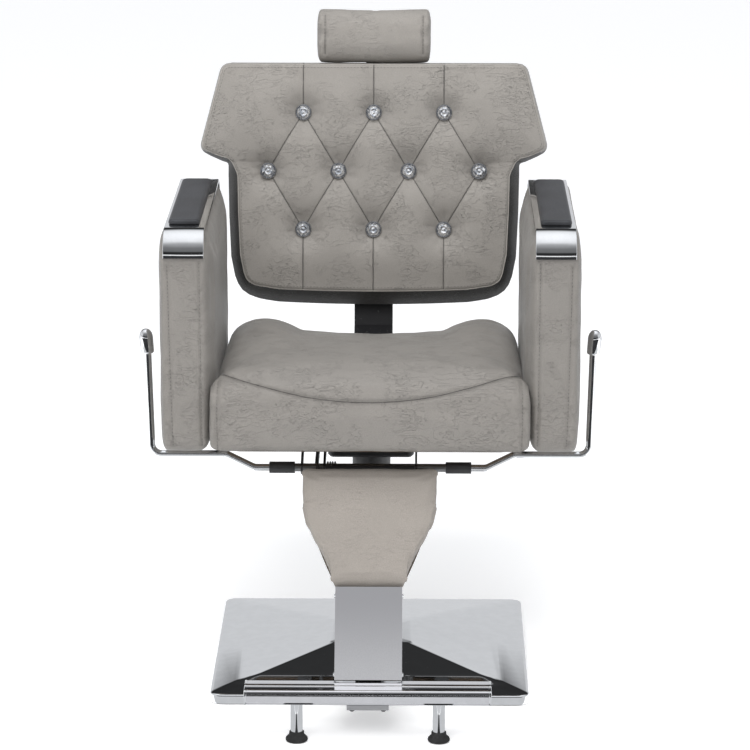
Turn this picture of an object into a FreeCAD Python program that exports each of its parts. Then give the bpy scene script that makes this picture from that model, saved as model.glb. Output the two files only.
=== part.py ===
import FreeCAD, Part
import Sketcher
import math
import os
import re
from types import SimpleNamespace
from FreeCAD import Placement, Rotation, Vector

# Hydraulic barber chair with a square base, a reclining back, a calf rest and a foot bar.
# X runs across the chair, Y from the front to the rear and Z up.
# The origin is on the floor, on the axis that the seat turns about.
# The seat is modelled at its lowest, the back upright and the calf rest hanging down.

SIZES = [
    # base
    ("base_side", 550, "side of the square base cover"),
    ("base_corner_radius", 22, "plan radius of the base corners"),
    ("base_lip_height", 18, "height of the upright edge of the cover"),
    ("base_flange_width", 42, "width of the almost flat border inside the edge"),
    ("base_flange_rise", 3.5, "rise of that border"),
    ("base_step_width", 32, "width of the step up from the border"),
    ("base_step_rise", 8.5, "rise of the step"),
    ("base_peak_height", 45.5, "height of the flat top of the cover"),
    ("base_peak_half", 68, "half the side of the flat top"),
    ("base_cover_wall", 1.5, "sheet thickness of the base cover"),
    ("base_rubber_thickness", 4, "thickness of the rubber sheet under the base"),
    ("base_plate_thickness", 8, "thickness of the steel base plate"),
    ("base_fit", 1.0, "gap between the base plate and the inside of the cover"),
    # pump
    ("pump_radius", 52, "outer radius of the pump cylinder"),
    ("pump_bore_radius", 34, "bore radius of the pump cylinder"),
    ("pump_top_height", 318, "height of the top of the pump cylinder"),
    ("pump_floor_thickness", 18, "thickness of the closed foot of the pump cylinder"),
    ("pump_flange_radius", 76, "radius of the foot flange of the pump"),
    ("pump_flange_thickness", 12, "thickness of the foot flange"),
    ("pump_bolt_circle", 64, "radius of the circle of flange bolts"),
    ("pump_bolt_radius", 5, "shank radius of the flange bolts"),
    ("bolt_hole_gap", 0.4, "gap all round a bolt shank in its hole"),
    ("skirt_foot_radius", 66, "radius of the foot of the chrome skirt"),
    ("skirt_height", 46, "height of the chrome skirt"),
    ("skirt_wall", 1.6, "sheet thickness of the skirt"),
    ("skirt_gap", 0.3, "gap between the skirt and the pump cylinder"),
    ("collar_radius", 56, "outer radius of the top collar of the pump"),
    ("collar_height", 16, "height of the top collar"),
    ("collar_lap", 20, "length of the collar's sleeve down round the cylinder"),
    # ram
    ("ram_radius", 28, "radius of the lifting ram"),
    ("ram_running_gap", 0.06, "gap between the ram and the collar"),
    ("piston_running_gap", 0.08, "gap between the piston and the bore"),
    ("piston_height", 22, "height of the piston on the foot of the ram"),
    ("piston_foot_gap", 0.4, "gap under the piston at the lowest seat height"),
    ("spigot_radius", 20, "radius of the ram's top spigot inside the hub"),
    ("spigot_length", 30, "length of the spigot"),
    ("washer_thickness", 3, "thickness of the thrust washer under the hub"),
    ("swivel_gap", 0.05, "gap between the spigot and the hub"),
    # pedal
    ("pedal_pivot_height", 105, "height of the pedal pivot"),
    ("pedal_pivot_back", 80, "distance of the pedal pivot behind the pump axis"),
    ("pedal_reach", 205, "distance from the pedal pivot to the end of the pedal arm"),
    ("pedal_rise", 10, "angle of the released pedal above level"),
    ("pedal_arm_width", 26, "width of the pedal arm"),
    ("pedal_arm_thickness", 14, "thickness of the pedal arm"),
    ("pedal_pin_radius", 6, "radius of the pedal pin"),
    ("pedal_lug_thickness", 8, "thickness of each lug beside the pedal arm"),
    ("pedal_pad_width", 96, "width of the rubber on the pedal"),
    ("pedal_pad_length", 62, "length of the rubber on the pedal"),
    ("pedal_pad_thickness", 9, "thickness of the rubber on the pedal"),
    ("pin_gap", 0.06, "gap between a turning piece and its pin"),
    ("side_gap", 0.5, "gap beside a piece that turns between lugs"),
    ("spring_coil_radius", 9.4, "centre-line radius of the lever return spring"),
    ("spring_wire_radius", 1.6, "wire radius of the lever return spring"),
    ("spring_turns", 4, "turns of the lever return spring"),
    ("spring_wire_gap", 1.0, "gap between the turns of the lever return spring"),
    # swivel and seat frame
    ("hub_radius", 33.5, "outer radius of the swivel hub"),
    ("plate_bottom_height", 386, "height of the underside of the swivel plate"),
    ("plate_half_width", 75, "half the side of the swivel plate"),
    ("plate_thickness", 10, "thickness of the swivel plate"),
    ("plate_corner_radius", 8, "radius of the lower edges of the swivel plate"),
    ("rail_height", 34, "height of the seat frame's tubes"),
    ("rail_width", 26, "width of the seat frame's tubes"),
    ("rail_wall", 2.5, "wall of the seat frame's tubes"),
    ("rail_half_spacing", 128, "distance from the middle of the chair to each side rail"),
    ("frame_front", -72, "front end of the side rails"),
    ("frame_rear", 158, "rear end of the side rails"),
    ("board_thickness", 12, "thickness of the plywood seat board"),
    ("board_half_width", 238, "half the width of the seat board"),
    ("board_front", -198, "front edge of the seat board"),
    ("board_rear", 178, "rear edge of the seat board"),
    # seat cushion
    ("seat_front", -250, "front of the seat cushion"),
    ("seat_rear", 196, "rear of the seat cushion"),
    ("seat_half_front", 270, "half the width of the seat cushion at the front"),
    ("seat_half_middle", 256, "half the width of the seat cushion between the arms"),
    ("seat_crown_height", 137, "height of the crown of the seat cushion over its underside"),
    ("seat_rear_height", 108, "height of the cushion at its rear over its underside"),
    ("seat_bolster_rise", 20, "rise of the side rolls at the rear of the cushion"),
    ("seat_channel_depth", 5, "depth of the sewn line round the seat panel"),
    ("soft_gap", 0.4, "gap between a cushion and what carries it"),
    # arms
    ("arm_centre", 313, "distance from the middle of the chair to the middle of an armrest"),
    ("arm_inner_half", 283, "distance from the middle to the inner front edge of an arm panel"),
    ("arm_outer_half", 350, "distance from the middle to the outer front edge of an arm panel"),
    ("arm_inner_swell", 17, "swell of the padded inner side of an arm panel"),
    ("arm_outer_swell", 5, "swell of the padded outer side of an arm panel"),
    ("arm_front", -225, "front face of the arm panels"),
    ("arm_rear", 268, "rear face of the arm panels"),
    ("arm_bottom_tuck", 12, "inward tuck of the outer side at the bottom of an arm panel"),
    ("arm_corner_radius", 34, "radius of the lower front and rear corners of an arm panel"),
    ("arm_top_height", 820, "height of the top of the chrome armrest strip"),
    ("strip_width", 62, "width of the chrome armrest strip"),
    ("strip_thickness", 7, "thickness of the chrome armrest strip"),
    ("strip_bend_radius", 42, "outer radius of the bends of the armrest strip"),
    ("strip_front_end_height", 764, "height of the lower end of the strip at the front"),
    ("strip_rear_end_height", 740, "height of the lower end of the strip at the rear"),
    ("pad_width", 56, "width of the black armrest pad"),
    ("pad_thickness", 9, "thickness of the black armrest pad"),
    ("pad_rear_margin", 24, "chrome left bare behind the armrest pad"),
    ("pad_front_margin", 6, "chrome left bare in front of the armrest pad before the bend"),
    ("bracket_width", 40, "width of the flat arm brackets"),
    ("bracket_thickness", 6, "thickness of the flat arm brackets"),
    ("front_bracket_place", -40, "place of the front arm brackets from front to rear"),
    ("rear_bracket_place", 134, "place of the rear arm brackets from front to rear"),
    ("bracket_reach", 338, "distance from the middle to the outer end of an arm bracket"),
    # levers
    ("lever_place", -150, "place of the lever shaft from front to rear"),
    ("lever_height", 389, "height of the lever shaft"),
    ("lever_shaft_radius", 7, "radius of the cross shaft that joins the levers"),
    ("sleeve_radius", 10, "outer radius of the black lever sleeves"),
    ("sleeve_inner_end", 130, "distance from the middle to the inner end of a sleeve"),
    ("sleeve_length", 44, "length of a lever sleeve"),
    ("lever_rod_radius", 6, "radius of the chrome lever rods"),
    ("lever_run_start", 200, "distance from the middle to the inner end of the rod's level stretch"),
    ("lever_slope_length", 48, "sideways length of the sloping stretch of a lever rod"),
    ("lever_run_rise", 24, "rise of the level stretch over the shaft"),
    ("lever_outer_reach", 376, "distance from the middle to the upright of a lever rod"),
    ("lever_bend_radius", 17, "centre-line radius of the bends in a lever rod"),
    ("lever_rod_top_height", 600, "height of the top of the bare lever rod"),
    ("lever_lean", 5, "outward lean of the top of a lever rod"),
    ("knob_radius", 12, "radius of the black lever knobs"),
    ("knob_length", 43, "length of a lever knob"),
    ("outer_plate_place", -118, "sideways place of the outer plate that carries the lever shaft"),
    # calf rest
    ("leg_hinge_place", -172, "place of the calf rest hinge from front to rear"),
    ("leg_hinge_height", 388, "height of the calf rest hinge"),
    ("leg_pin_radius", 6, "radius of the calf rest hinge pin"),
    ("leg_bracket_place", 79, "distance from the middle to each calf rest hinge bracket"),
    ("leg_bracket_thickness", 3.5, "thickness of each hinge bracket"),
    ("leg_tilt", 33.4, "slope of the hanging calf rest from upright"),
    ("calf_top_place", -205, "place of the top of the calf pad's face from front to rear"),
    ("calf_top_height", 408, "height of the top of the calf pad's face"),
    ("calf_half_top", 113, "half the width of the calf pad at its top"),
    ("calf_half_bottom", 59.5, "half the width of the calf pad at its bottom"),
    ("calf_straight_length", 72, "length of the parallel upper part of the calf pad"),
    ("calf_length", 214, "length of the calf pad"),
    ("calf_pad_thickness", 20, "thickness of the calf pad"),
    ("calf_board_thickness", 7, "thickness of the board behind the calf pad"),
    ("stem_width", 44, "width of the calf rest's stem tube"),
    ("stem_depth", 22, "depth of the calf rest's stem tube"),
    ("cover_half_width", 56.5, "half the width of the stem cover"),
    ("cover_top", 216, "distance down the slope to the top edge of the stem cover"),
    ("cover_bottom", 378, "distance down the slope to the bottom edge of the stem cover"),
    ("cover_wall", 1.5, "sheet thickness of the stem cover"),
    ("cover_flange", 44, "depth of the stem cover's side flanges"),
    ("cover_screw_radius", 4.5, "radius of the domed cover screws"),
    # foot bar
    ("tread_width", 410, "width of the foot bar"),
    ("tread_depth", 58, "depth of the foot bar"),
    ("tread_thickness", 20, "thickness of the foot bar"),
    ("tread_place", -440, "place of the middle of the foot bar from front to rear"),
    ("tread_bottom_height", 71, "height of the underside of the foot bar"),
    ("tread_nose_radius", 9, "radius of the foot bar's long edges"),
    ("tread_groove_depth", 1.2, "depth of the grip groove in the foot bar"),
    ("end_cap_thickness", 3, "thickness of the foot bar's end caps"),
    ("clamp_width", 70, "width of the clamp plate under the foot bar"),
    ("clamp_thickness", 6, "thickness of the clamp plate under the foot bar"),
    ("clamp_bolt_half_spacing", 24, "half the distance between the clamp bolts"),
    ("foot_half_spacing", 118.5, "distance from the middle to each foot tube"),
    ("foot_tube_radius", 10.25, "radius of the foot tubes"),
    ("foot_place", -454, "place of the feet from front to rear"),
    ("foot_tube_wall", 1.8, "wall of the foot tubes"),
    ("foot_rubber_radius", 18.7, "radius of the rubber feet"),
    ("foot_rubber_height", 17, "height of the rubber feet"),
    ("foot_floor_gap", 0.5, "gap under the rubber feet"),
    # back
    ("back_hinge_place", 200, "place of the back hinge from front to rear"),
    ("back_hinge_height", 412, "height of the back hinge"),
    ("back_pin_radius", 7, "radius of the back hinge pin"),
    ("back_tilt", 12.8, "slope of the upright back from upright"),
    ("back_recline", 50, "angle that the back reclines through"),
    ("back_face_place", 200, "place of the bottom of the back cushion's face from front to rear"),
    ("back_bottom_height", 602, "height of the bottom of the back cushion"),
    ("back_length", 428, "length of the back cushion along its slope"),
    ("back_half_body", 256, "half the width of the back between the arms"),
    ("back_half_wing", 315, "half the width of the back's shoulder wings at their widest"),
    ("back_half_top", 277, "half the width of the back at its top"),
    ("wing_low", 252, "distance up the slope to the lower edge of the wings"),
    ("wing_widest", 283, "distance up the slope to the widest place of the wings"),
    ("back_thickness", 74, "thickness of the back cushion with its crown"),
    ("back_edge_thickness", 56, "thickness of the back cushion at its edge seam"),
    ("back_board_thickness", 14, "thickness of the shell behind the back cushion"),
    ("back_bottom_drop", 12, "drop of the curved bottom edge at the middle of the back"),
    ("tuft_depth", 17, "depth of the tufts under the crown of the back"),
    ("tuft_radius", 34, "radius over which each tuft dishes the cushion"),
    ("tuft_top_row", 342, "distance up the slope to the top row of buttons"),
    ("tuft_row_pitch", 105.5, "distance between rows of buttons along the slope"),
    ("tuft_column_pitch", 127, "distance between buttons across the back"),
    ("button_radius", 14, "radius of the buttons"),
    ("back_bar_width", 70, "width of the steel bar that carries the back"),
    ("back_bar_thickness", 8, "thickness of the steel bar that carries the back"),
    ("back_bar_bend_height", 505, "height of the lower bend in the steel bar behind the seat"),
    ("back_bar_overhang", 42, "length of the bar below the back before its upper bend"),
    ("back_bar_place", 208, "place of the upright part of that bar from front to rear"),
    ("back_bar_lap", 215, "length of the bar's lap on the shell of the back"),
    ("crank_ear_thickness", 8, "thickness of the back's hinge ears"),
    ("hinge_ear_radius", 15, "radius of the ears round the hinge pins"),
    ("crank_thickness", 6, "thickness of the cranks on the hinge pins"),
    ("crank_eye_radius", 10, "radius of the crank ends round their pins"),
    # linkage
    ("link_place", -96, "sideways place of the push link"),
    ("link_crank", 40, "crank length of the push link at both its ends"),
    ("link_bar_width", 16, "width of the push link"),
    ("link_bar_thickness", 6, "thickness of the push link"),
    ("link_pin_radius", 5, "radius of the push link's pins"),
    ("open_pivot_gap", 1.2, "gap round the link's front pin"),
    ("gas_place", 56, "sideways place of the gas spring"),
    ("gas_crank", 40, "crank length of the gas spring"),
    ("gas_cylinder_radius", 10, "radius of the gas spring's cylinder"),
    ("gas_cylinder_length", 138, "length of the gas spring's cylinder"),
    ("gas_rod_radius", 5, "radius of the gas spring's rod"),
    ("gas_eye_gap", 3.6, "gap of the eye over and under its pin"),
    ("gas_pin_radius", 5, "radius of the gas spring's pins"),
    # headrest
    ("headrest_half_width", 100, "half the width of the headrest pad"),
    ("headrest_height", 97, "height of the headrest pad"),
    ("headrest_thickness", 62, "thickness of the headrest pad"),
    ("headrest_gap", 7, "gap between the back and the headrest pad at its lowest"),
    ("headrest_saddle", 5, "dip of the headrest's top edge at its middle"),
    ("headrest_bar_width", 30, "width of the headrest's sliding bar"),
    ("headrest_bar_thickness", 6, "thickness of the headrest's sliding bar"),
    ("headrest_travel", 100, "height that the headrest can be raised"),
    ("slide_gap", 0.4, "gap round the headrest bar in its socket"),
]

doc = FreeCAD.newDocument("barber_chair")
sheet = doc.addObject("Spreadsheet::Sheet", "sizes")
for row, (name, number, meaning) in enumerate(SIZES, 1):
    sheet.set(f"A{row}", name)
    sheet.set(f"B{row}", str(number))
    sheet.set(f"C{row}", meaning)
    sheet.setAlias(f"B{row}", name)
doc.recompute()
NAMES = {name for name, number, meaning in SIZES}
S = SimpleNamespace(**{name: sheet.get(name) for name in NAMES})
PIECES = []
TURN = {"X": Rotation(Vector(0, 1, 0), 90), "Y": Rotation(Vector(1, 0, 0), -90), "Z": Rotation()}
ROLES = {"XY": "XY_Plane", "XZ": "XZ_Plane", "YZ": "YZ_Plane"}


def bound(formula):
    """A formula with every size name pointed at the sheet."""
    def pointed(word):
        return "sizes." + word[0] if word[0] in NAMES else word[0]
    return re.sub(r"[a-z][a-z_0-9]*", pointed, str(formula))


def bind(obj, prop, formula):
    obj.setExpression(prop, bound(formula))


def place(obj, x=0, y=0, z=0):
    for name, formula in (("x", x), ("y", y), ("z", z)):
        bind(obj, "Placement.Base." + name, formula)


def piece(obj, label):
    """Give an object the name of its file and list it among the finished pieces."""
    obj.Label = label
    PIECES.append(obj)
    return obj


def box(name, x, y, z):
    """A box between two formulas on each axis."""
    block = doc.addObject("Part::Box", name)
    for prop, (low, high) in (("Length", x), ("Width", y), ("Height", z)):
        bind(block, prop, f"({high}) - ({low})")
    place(block, x[0], y[0], z[0])
    return block


def rod(name, axis, radius, start, end, first=0, second=0):
    """A cylinder along an axis from start to end; first and second place it on the other two axes."""
    bar = doc.addObject("Part::Cylinder", name)
    bind(bar, "Radius", radius)
    bind(bar, "Height", f"({end}) - ({start})")
    bar.Placement = Placement(Vector(), TURN[axis])
    spot = {"X": (start, first, second), "Y": (first, start, second), "Z": (first, second, start)}[axis]
    place(bar, *spot)
    return bar


def cut(name, base, tool):
    result = doc.addObject("Part::Cut", name)
    result.Base = base
    result.Tool = tool
    return result


def fuse(name, shapes):
    result = doc.addObject("Part::MultiFuse", name)
    result.Shapes = shapes
    result.Refine = True
    return result


def group(name, shapes):
    """Separate solids that share one node."""
    result = doc.addObject("Part::Compound", name)
    result.Links = shapes
    return result


def new_body(name):
    return doc.addObject("PartDesign::Body", name)


def sketch(body, plane, corners, name="outline"):
    """A closed outline of corners (across, up, radius) on one of the body's own planes."""
    drawing = body.newObject("Sketcher::SketchObject", name)
    support = [feature for feature in body.Origin.OriginFeatures if feature.Role == ROLES[plane]][0]
    drawing.AttachmentSupport = [(support, "")]
    drawing.MapMode = "FlatFace"
    spots = [Vector(worth(corner[0]), worth(corner[1]), 0) for corner in corners]
    count = len(corners)
    for i in range(count):
        drawing.addGeometry(Part.LineSegment(spots[i], spots[(i + 1) % count]))
    for i in range(count):
        drawing.addConstraint(Sketcher.Constraint("Coincident", i, 2, (i + 1) % count, 1))
    for i, corner in enumerate(corners):
        places = (("DistanceX", corner[0], spots[i].x), ("DistanceY", corner[1], spots[i].y))
        for kind, formula, value in places:
            number = drawing.addConstraint(Sketcher.Constraint(kind, -1, 1, i, 1, value))
            drawing.setExpression(f"Constraints[{number}]", bound(formula))
    doc.recompute()
    for i, corner in enumerate(corners):
        if len(corner) > 2:
            before = len(drawing.Geometry)
            drawing.fillet(i, 1, worth(corner[2]), True, True)
            arcs = [g for g in range(before, len(drawing.Geometry))
                    if isinstance(drawing.Geometry[g], Part.ArcOfCircle)]
            number = drawing.addConstraint(Sketcher.Constraint("Radius", arcs[0], worth(corner[2])))
            drawing.setExpression(f"Constraints[{number}]", bound(corner[2]))
    doc.recompute()
    return drawing


def worth(formula):
    """The number that a formula gives, read from a spare cell of the sheet."""
    sheet.set("E1", "=" + str(formula))
    sheet.recompute()
    return float(sheet.get("E1"))


def padded(name, plane, corners, length, start=None):
    """A body padded from an outline; start moves it along the plane's normal, else it is centred."""
    body = new_body(name)
    pad = body.newObject("PartDesign::Pad", "pad")
    pad.Profile = sketch(body, plane, corners)
    bind(pad, "Length", length)
    pad.Midplane = start is None
    doc.recompute()
    if start is not None:
        axis = {"XY": "z", "XZ": "y", "YZ": "x"}[plane]
        if plane == "XZ":
            pad.Reversed = True
        bind(body, "Placement.Base." + axis, start)
    return body


def turned(name, corners):
    """A body turned about Z from an outline of (radius, height) corners."""
    body = new_body(name)
    turning = body.newObject("PartDesign::Revolution", "turning")
    drawing = sketch(body, "XZ", corners)
    turning.Profile = drawing
    turning.ReferenceAxis = (drawing, ["V_Axis"])
    turning.Angle = 360
    doc.recompute()
    return body


def solid(name, label, shape):
    """A piece whose shape is worked out from the sizes with loft, sweep and boolean functions."""
    item = doc.addObject("Part::Feature", name)
    item.Shape = shape
    return piece(item, label)


def face_of(points):
    """A flat face from points; a point given as a pair is the middle and the end of an arc."""
    edges = []
    start = points[0]
    for step in points[1:] + [points[0]]:
        if isinstance(step, tuple):
            edges.append(Part.Arc(start, step[0], step[1]).toShape())
            start = step[1]
        elif step.distanceToPoint(start) > 1e-6:
            edges.append(Part.LineSegment(start, step).toShape())
            start = step
    return Part.Face(Part.Wire(edges))


def corners_of(points, steps):
    """The corners round a flat outline, given as for face_of, with each arc divided into equal steps."""
    corners = []
    start = points[0]
    for step in points[1:] + [points[0]]:
        if isinstance(step, tuple):
            arc = Part.Arc(start, step[0], step[1]).toShape()
            corners += arc.discretize(steps + 1)[1:]
            start = step[1]
        elif step.distanceToPoint(start) > 1e-6:
            corners.append(step)
            start = step
    return corners


def stacked(rings):
    """A closed solid with flat facets through rings of corners, each ring with the same count."""
    count = len(rings[0])
    faces = [Part.Face(Part.makePolygon(ring + ring[:1])) for ring in (rings[0], rings[-1])]
    for low, high in zip(rings, rings[1:]):
        for i in range(count):
            j = (i + 1) % count
            faces.append(Part.Face(Part.makePolygon([low[i], low[j], high[j], low[i]])))
            faces.append(Part.Face(Part.makePolygon([low[i], high[j], high[i], low[i]])))
    shell = Part.makeShell(faces)
    shell.sewShape()
    form = Part.makeSolid(shell)
    if form.Volume < 0:
        form.reverse()
    return form.removeSplitter()


def swept(points, radius, bend):
    """A round bar along straight runs joined by tangent arcs."""
    edges = []
    start = points[0]
    for i in range(1, len(points) - 1):
        back = (points[i - 1] - points[i]).normalize()
        ahead = (points[i + 1] - points[i]).normalize()
        half = back.getAngle(ahead) / 2
        reach = bend / math.tan(half)
        inward = (back + ahead).normalize()
        first = points[i] + back * reach
        last = points[i] + ahead * reach
        middle = points[i] + inward * (bend / math.sin(half) - bend)
        edges.append(Part.LineSegment(start, first).toShape())
        edges.append(Part.Arc(first, middle, last).toShape())
        start = last
    edges.append(Part.LineSegment(start, points[-1]).toShape())
    path = Part.Wire(edges)
    ring = Part.Wire(Part.makeCircle(radius, points[0], points[1] - points[0]))
    return path.makePipeShell([ring], True, False)


def rounded_square(half, radius, height):
    """The corners round a square with rounded corners at one height."""
    flat = half - radius
    corner = [Vector(radius * math.sin(math.radians(turn)), -radius * math.cos(math.radians(turn)), 0)
              for turn in (0, 30, 60, 90)]
    points = []
    for quarter in range(4):
        turned_by = Rotation(Vector(0, 0, 1), quarter * 90)
        points += [turned_by.multVec(Vector(flat, -flat, height) + step) for step in corner]
    return points


def base_dome(inset, drop):
    """The pressed form of the base cover, drawn in by a wall and lowered by it."""
    half = S.base_side / 2
    flange = half - S.base_flange_width
    step = flange - S.base_step_width
    flange_top = S.base_lip_height + S.base_flange_rise
    step_top = flange_top + S.base_step_rise
    levels = [
        (half, S.base_cover_wall - drop), (half, S.base_lip_height - S.base_cover_wall * 2),
        (half - S.base_cover_wall * 2, S.base_lip_height), (flange, flange_top), (step, step_top),
        (S.base_peak_half, S.base_peak_height),
    ]
    radius = S.base_corner_radius
    if inset:
        levels = levels[:2] + levels[3:]
    rings = []
    for width, height in levels:
        corner = max(radius * width / half, radius - (half - width)) - inset / 2
        rings.append(rounded_square(width - inset, corner,
                                    height - drop if height > S.base_cover_wall else height))
    return stacked(rings)


dome = base_dome(0, 0)
hollow = base_dome(S.base_cover_wall, S.base_cover_wall)
pump_opening = Part.makeCylinder(S.pump_radius + S.base_fit, S.base_peak_height * 2)
solid("base_cover_form", "base_cover", dome.cut(hollow).cut(pump_opening))

inside_half = "base_side / 2 - base_cover_wall - base_fit"
plate_foot = "base_rubber_thickness"
plate_top = "base_rubber_thickness + base_plate_thickness"


def square_outline(half, radius):
    return [(f"-({half})", f"-({half})", radius), (half, f"-({half})", radius),
            (half, half, radius), (f"-({half})", half, radius)]


inner_corner = "base_corner_radius - base_cover_wall"
piece(padded("rubber_sheet", "XY", square_outline(inside_half, inner_corner), plate_foot, "0"),
      "base_rubber")

plate = new_body("steel_plate")
plate_pad = plate.newObject("PartDesign::Pad", "pad")
plate_pad.Profile = sketch(plate, "XY", square_outline(inside_half, inner_corner))
bind(plate_pad, "Length", "base_plate_thickness")
doc.recompute()
bolt_drawing = plate.newObject("Sketcher::SketchObject", "bolt_hole")
bolt_drawing.AttachmentSupport = [([f for f in plate.Origin.OriginFeatures if f.Role == "XY_Plane"][0],
                                   "")]
bolt_drawing.MapMode = "FlatFace"
bolt_drawing.addGeometry(Part.Circle(Vector(S.pump_bolt_circle, 0, 0), Vector(0, 0, 1),
                                     S.pump_bolt_radius))
bolt_drawing.addConstraint(Sketcher.Constraint("PointOnObject", 0, 3, -1))
number = bolt_drawing.addConstraint(Sketcher.Constraint("DistanceX", -1, 1, 0, 3, S.pump_bolt_circle))
bolt_drawing.setExpression(f"Constraints[{number}]", bound("pump_bolt_circle"))
number = bolt_drawing.addConstraint(Sketcher.Constraint("Radius", 0, S.pump_bolt_radius))
bolt_drawing.setExpression(f"Constraints[{number}]", bound("pump_bolt_radius + bolt_hole_gap"))
bolt_hole = plate.newObject("PartDesign::Pocket", "bolt_hole_pocket")
bolt_hole.Profile = bolt_drawing
bolt_hole.Type = "ThroughAll"
bolt_hole.Reversed = True
doc.recompute()
hole_pattern = plate.newObject("PartDesign::PolarPattern", "bolt_holes")
hole_pattern.Originals = [bolt_hole]
hole_pattern.Axis = (bolt_drawing, ["N_Axis"])
hole_pattern.Angle = 360
hole_pattern.Occurrences = 4
plate.Tip = hole_pattern
place(plate, 0, 0, plate_foot)
piece(plate, "base_plate")

bolts = []
for turn in range(4):
    across = math.cos(math.pi / 2 * turn)
    along = math.sin(math.pi / 2 * turn)
    spot = (f"pump_bolt_circle * {across:.0f}", f"pump_bolt_circle * {along:.0f}")
    flange_top = f"{plate_top} + pump_flange_thickness"
    shank = rod(f"flange_shank_{turn}", "Z", "pump_bolt_radius", plate_foot, flange_top, *spot)
    head = doc.addObject("Part::Prism", f"flange_head_{turn}")
    head.Polygon = 6
    bind(head, "Circumradius", "pump_bolt_radius * 1.8")
    bind(head, "Height", "pump_bolt_radius * 1.2")
    place(head, spot[0], spot[1], flange_top)
    bolts.append(fuse(f"flange_bolt_{turn}", [shank, head]))
piece(group("flange_bolts", bolts), "pump_flange_bolts")

pump_foot = plate_top
flange_top = f"{pump_foot} + pump_flange_thickness"
bore_foot = f"{pump_foot} + pump_floor_thickness"
pump = turned("pump_casing", [
    ("0", pump_foot), ("pump_flange_radius", pump_foot), ("pump_flange_radius", flange_top),
    ("pump_radius", flange_top), ("pump_radius", "pump_top_height"),
    ("pump_bore_radius", "pump_top_height"), ("pump_bore_radius", bore_foot), ("0", bore_foot),
])
hole_tool = []
for turn in range(4):
    across = f"pump_bolt_circle * {math.cos(math.pi / 2 * turn):.0f}"
    along = f"pump_bolt_circle * {math.sin(math.pi / 2 * turn):.0f}"
    hole_tool.append(rod(f"flange_hole_{turn}", "Z", "pump_bolt_radius + bolt_hole_gap", pump_foot,
                         flange_top,
                         across, along))
piece(cut("pump_with_holes", pump, fuse("flange_hole_set", hole_tool)), "pump_cylinder")

skirt_inside = S.pump_radius + S.skirt_gap
skirt_top = S.base_peak_height + S.skirt_height
skirt_neck = skirt_inside + S.skirt_wall
middle_out = Vector(skirt_neck + (S.skirt_foot_radius - skirt_neck) * 0.26, 0,
                    S.base_peak_height + S.skirt_height * 0.34)
skirt_face = face_of([
    Vector(skirt_inside, 0, S.base_peak_height), Vector(S.skirt_foot_radius, 0, S.base_peak_height),
    Vector(S.skirt_foot_radius, 0, S.base_peak_height + S.skirt_wall * 2),
    middle_out, Vector(skirt_neck, 0, skirt_top), Vector(skirt_inside, 0, skirt_top),
])
solid("skirt_form", "pump_skirt", skirt_face.revolve(Vector(), Vector(0, 0, 1), 360))

collar_foot = "pump_top_height - collar_lap"
collar_top = "pump_top_height + collar_height"
collar_bore = "ram_radius + ram_running_gap"
collar_sleeve = "pump_radius + skirt_gap"
piece(turned("collar_form", [
    (collar_bore, "pump_top_height"), (collar_sleeve, "pump_top_height"), (collar_sleeve, collar_foot),
    ("collar_radius", collar_foot), ("collar_radius", collar_top + " - skirt_wall"),
    ("collar_radius - skirt_wall", collar_top), (collar_bore, collar_top),
]), "pump_collar")

ram_foot = f"{bore_foot} + piston_foot_gap"
piston_top = f"{ram_foot} + piston_height"
hub_foot = "plate_bottom_height - spigot_length"
shoulder = f"{hub_foot} - washer_thickness"
piece(turned("ram_form", [
    ("0", piston_top), ("ram_radius", piston_top), ("ram_radius", shoulder), ("spigot_radius", shoulder),
    ("spigot_radius", "plate_bottom_height", "1.5"), ("0", "plate_bottom_height"),
]), "ram_column")
piece(turned("piston_form", [
    ("0", ram_foot), ("pump_bore_radius - piston_running_gap", ram_foot),
    ("pump_bore_radius - piston_running_gap", piston_top), ("0", piston_top),
]), "ram_piston")
piece(turned("washer_form", [
    ("spigot_radius + swivel_gap", shoulder), ("ram_radius", shoulder),
    ("ram_radius", hub_foot), ("spigot_radius + swivel_gap", hub_foot),
]), "thrust_washer")

lug_inner = "pedal_arm_width / 2 + side_gap"
lug_outer = f"{lug_inner} + pedal_lug_thickness"
lug_half_height = "pedal_pin_radius * 2.2"
lugs = []
for side, sign in (("left", "-"), ("right", "")):
    low, high = (f"-({lug_outer})", f"-({lug_inner})") if sign else (lug_inner, lug_outer)
    plate_block = box(f"lug_block_{side}", (low, high), ("pump_radius * 0.8", "pedal_pivot_back"),
                      (f"pedal_pivot_height - {lug_half_height}",
                       f"pedal_pivot_height + {lug_half_height}"))
    nose = rod(f"lug_nose_{side}", "X", lug_half_height, low, high, "pedal_pivot_back",
               "pedal_pivot_height")
    lugs.append(fuse(f"lug_{side}", [plate_block, nose]))
back_block = box("lug_web", (f"-({lug_inner})", lug_inner),
                 ("pump_radius * 0.8", "pedal_pivot_back - pedal_arm_width"),
                 (f"pedal_pivot_height - {lug_half_height}", f"pedal_pivot_height + {lug_half_height}"))
lug_body = fuse("lug_casting", lugs + [back_block])
lug_tools = fuse("lug_tools", [
    rod("lug_saddle", "Z", "pump_radius", "0", "pump_top_height", "0", "0"),
    rod("lug_pin_hole", "X", "pedal_pin_radius", f"-({lug_outer})", lug_outer, "pedal_pivot_back",
        "pedal_pivot_height"),
])
piece(cut("pedal_lugs", lug_body, lug_tools), "pedal_bracket")
piece(rod("pedal_axle", "X", "pedal_pin_radius", f"-({lug_outer}) - 2", f"{lug_outer} + 2",
          "pedal_pivot_back",
          "pedal_pivot_height"), "pedal_pin")

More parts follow.
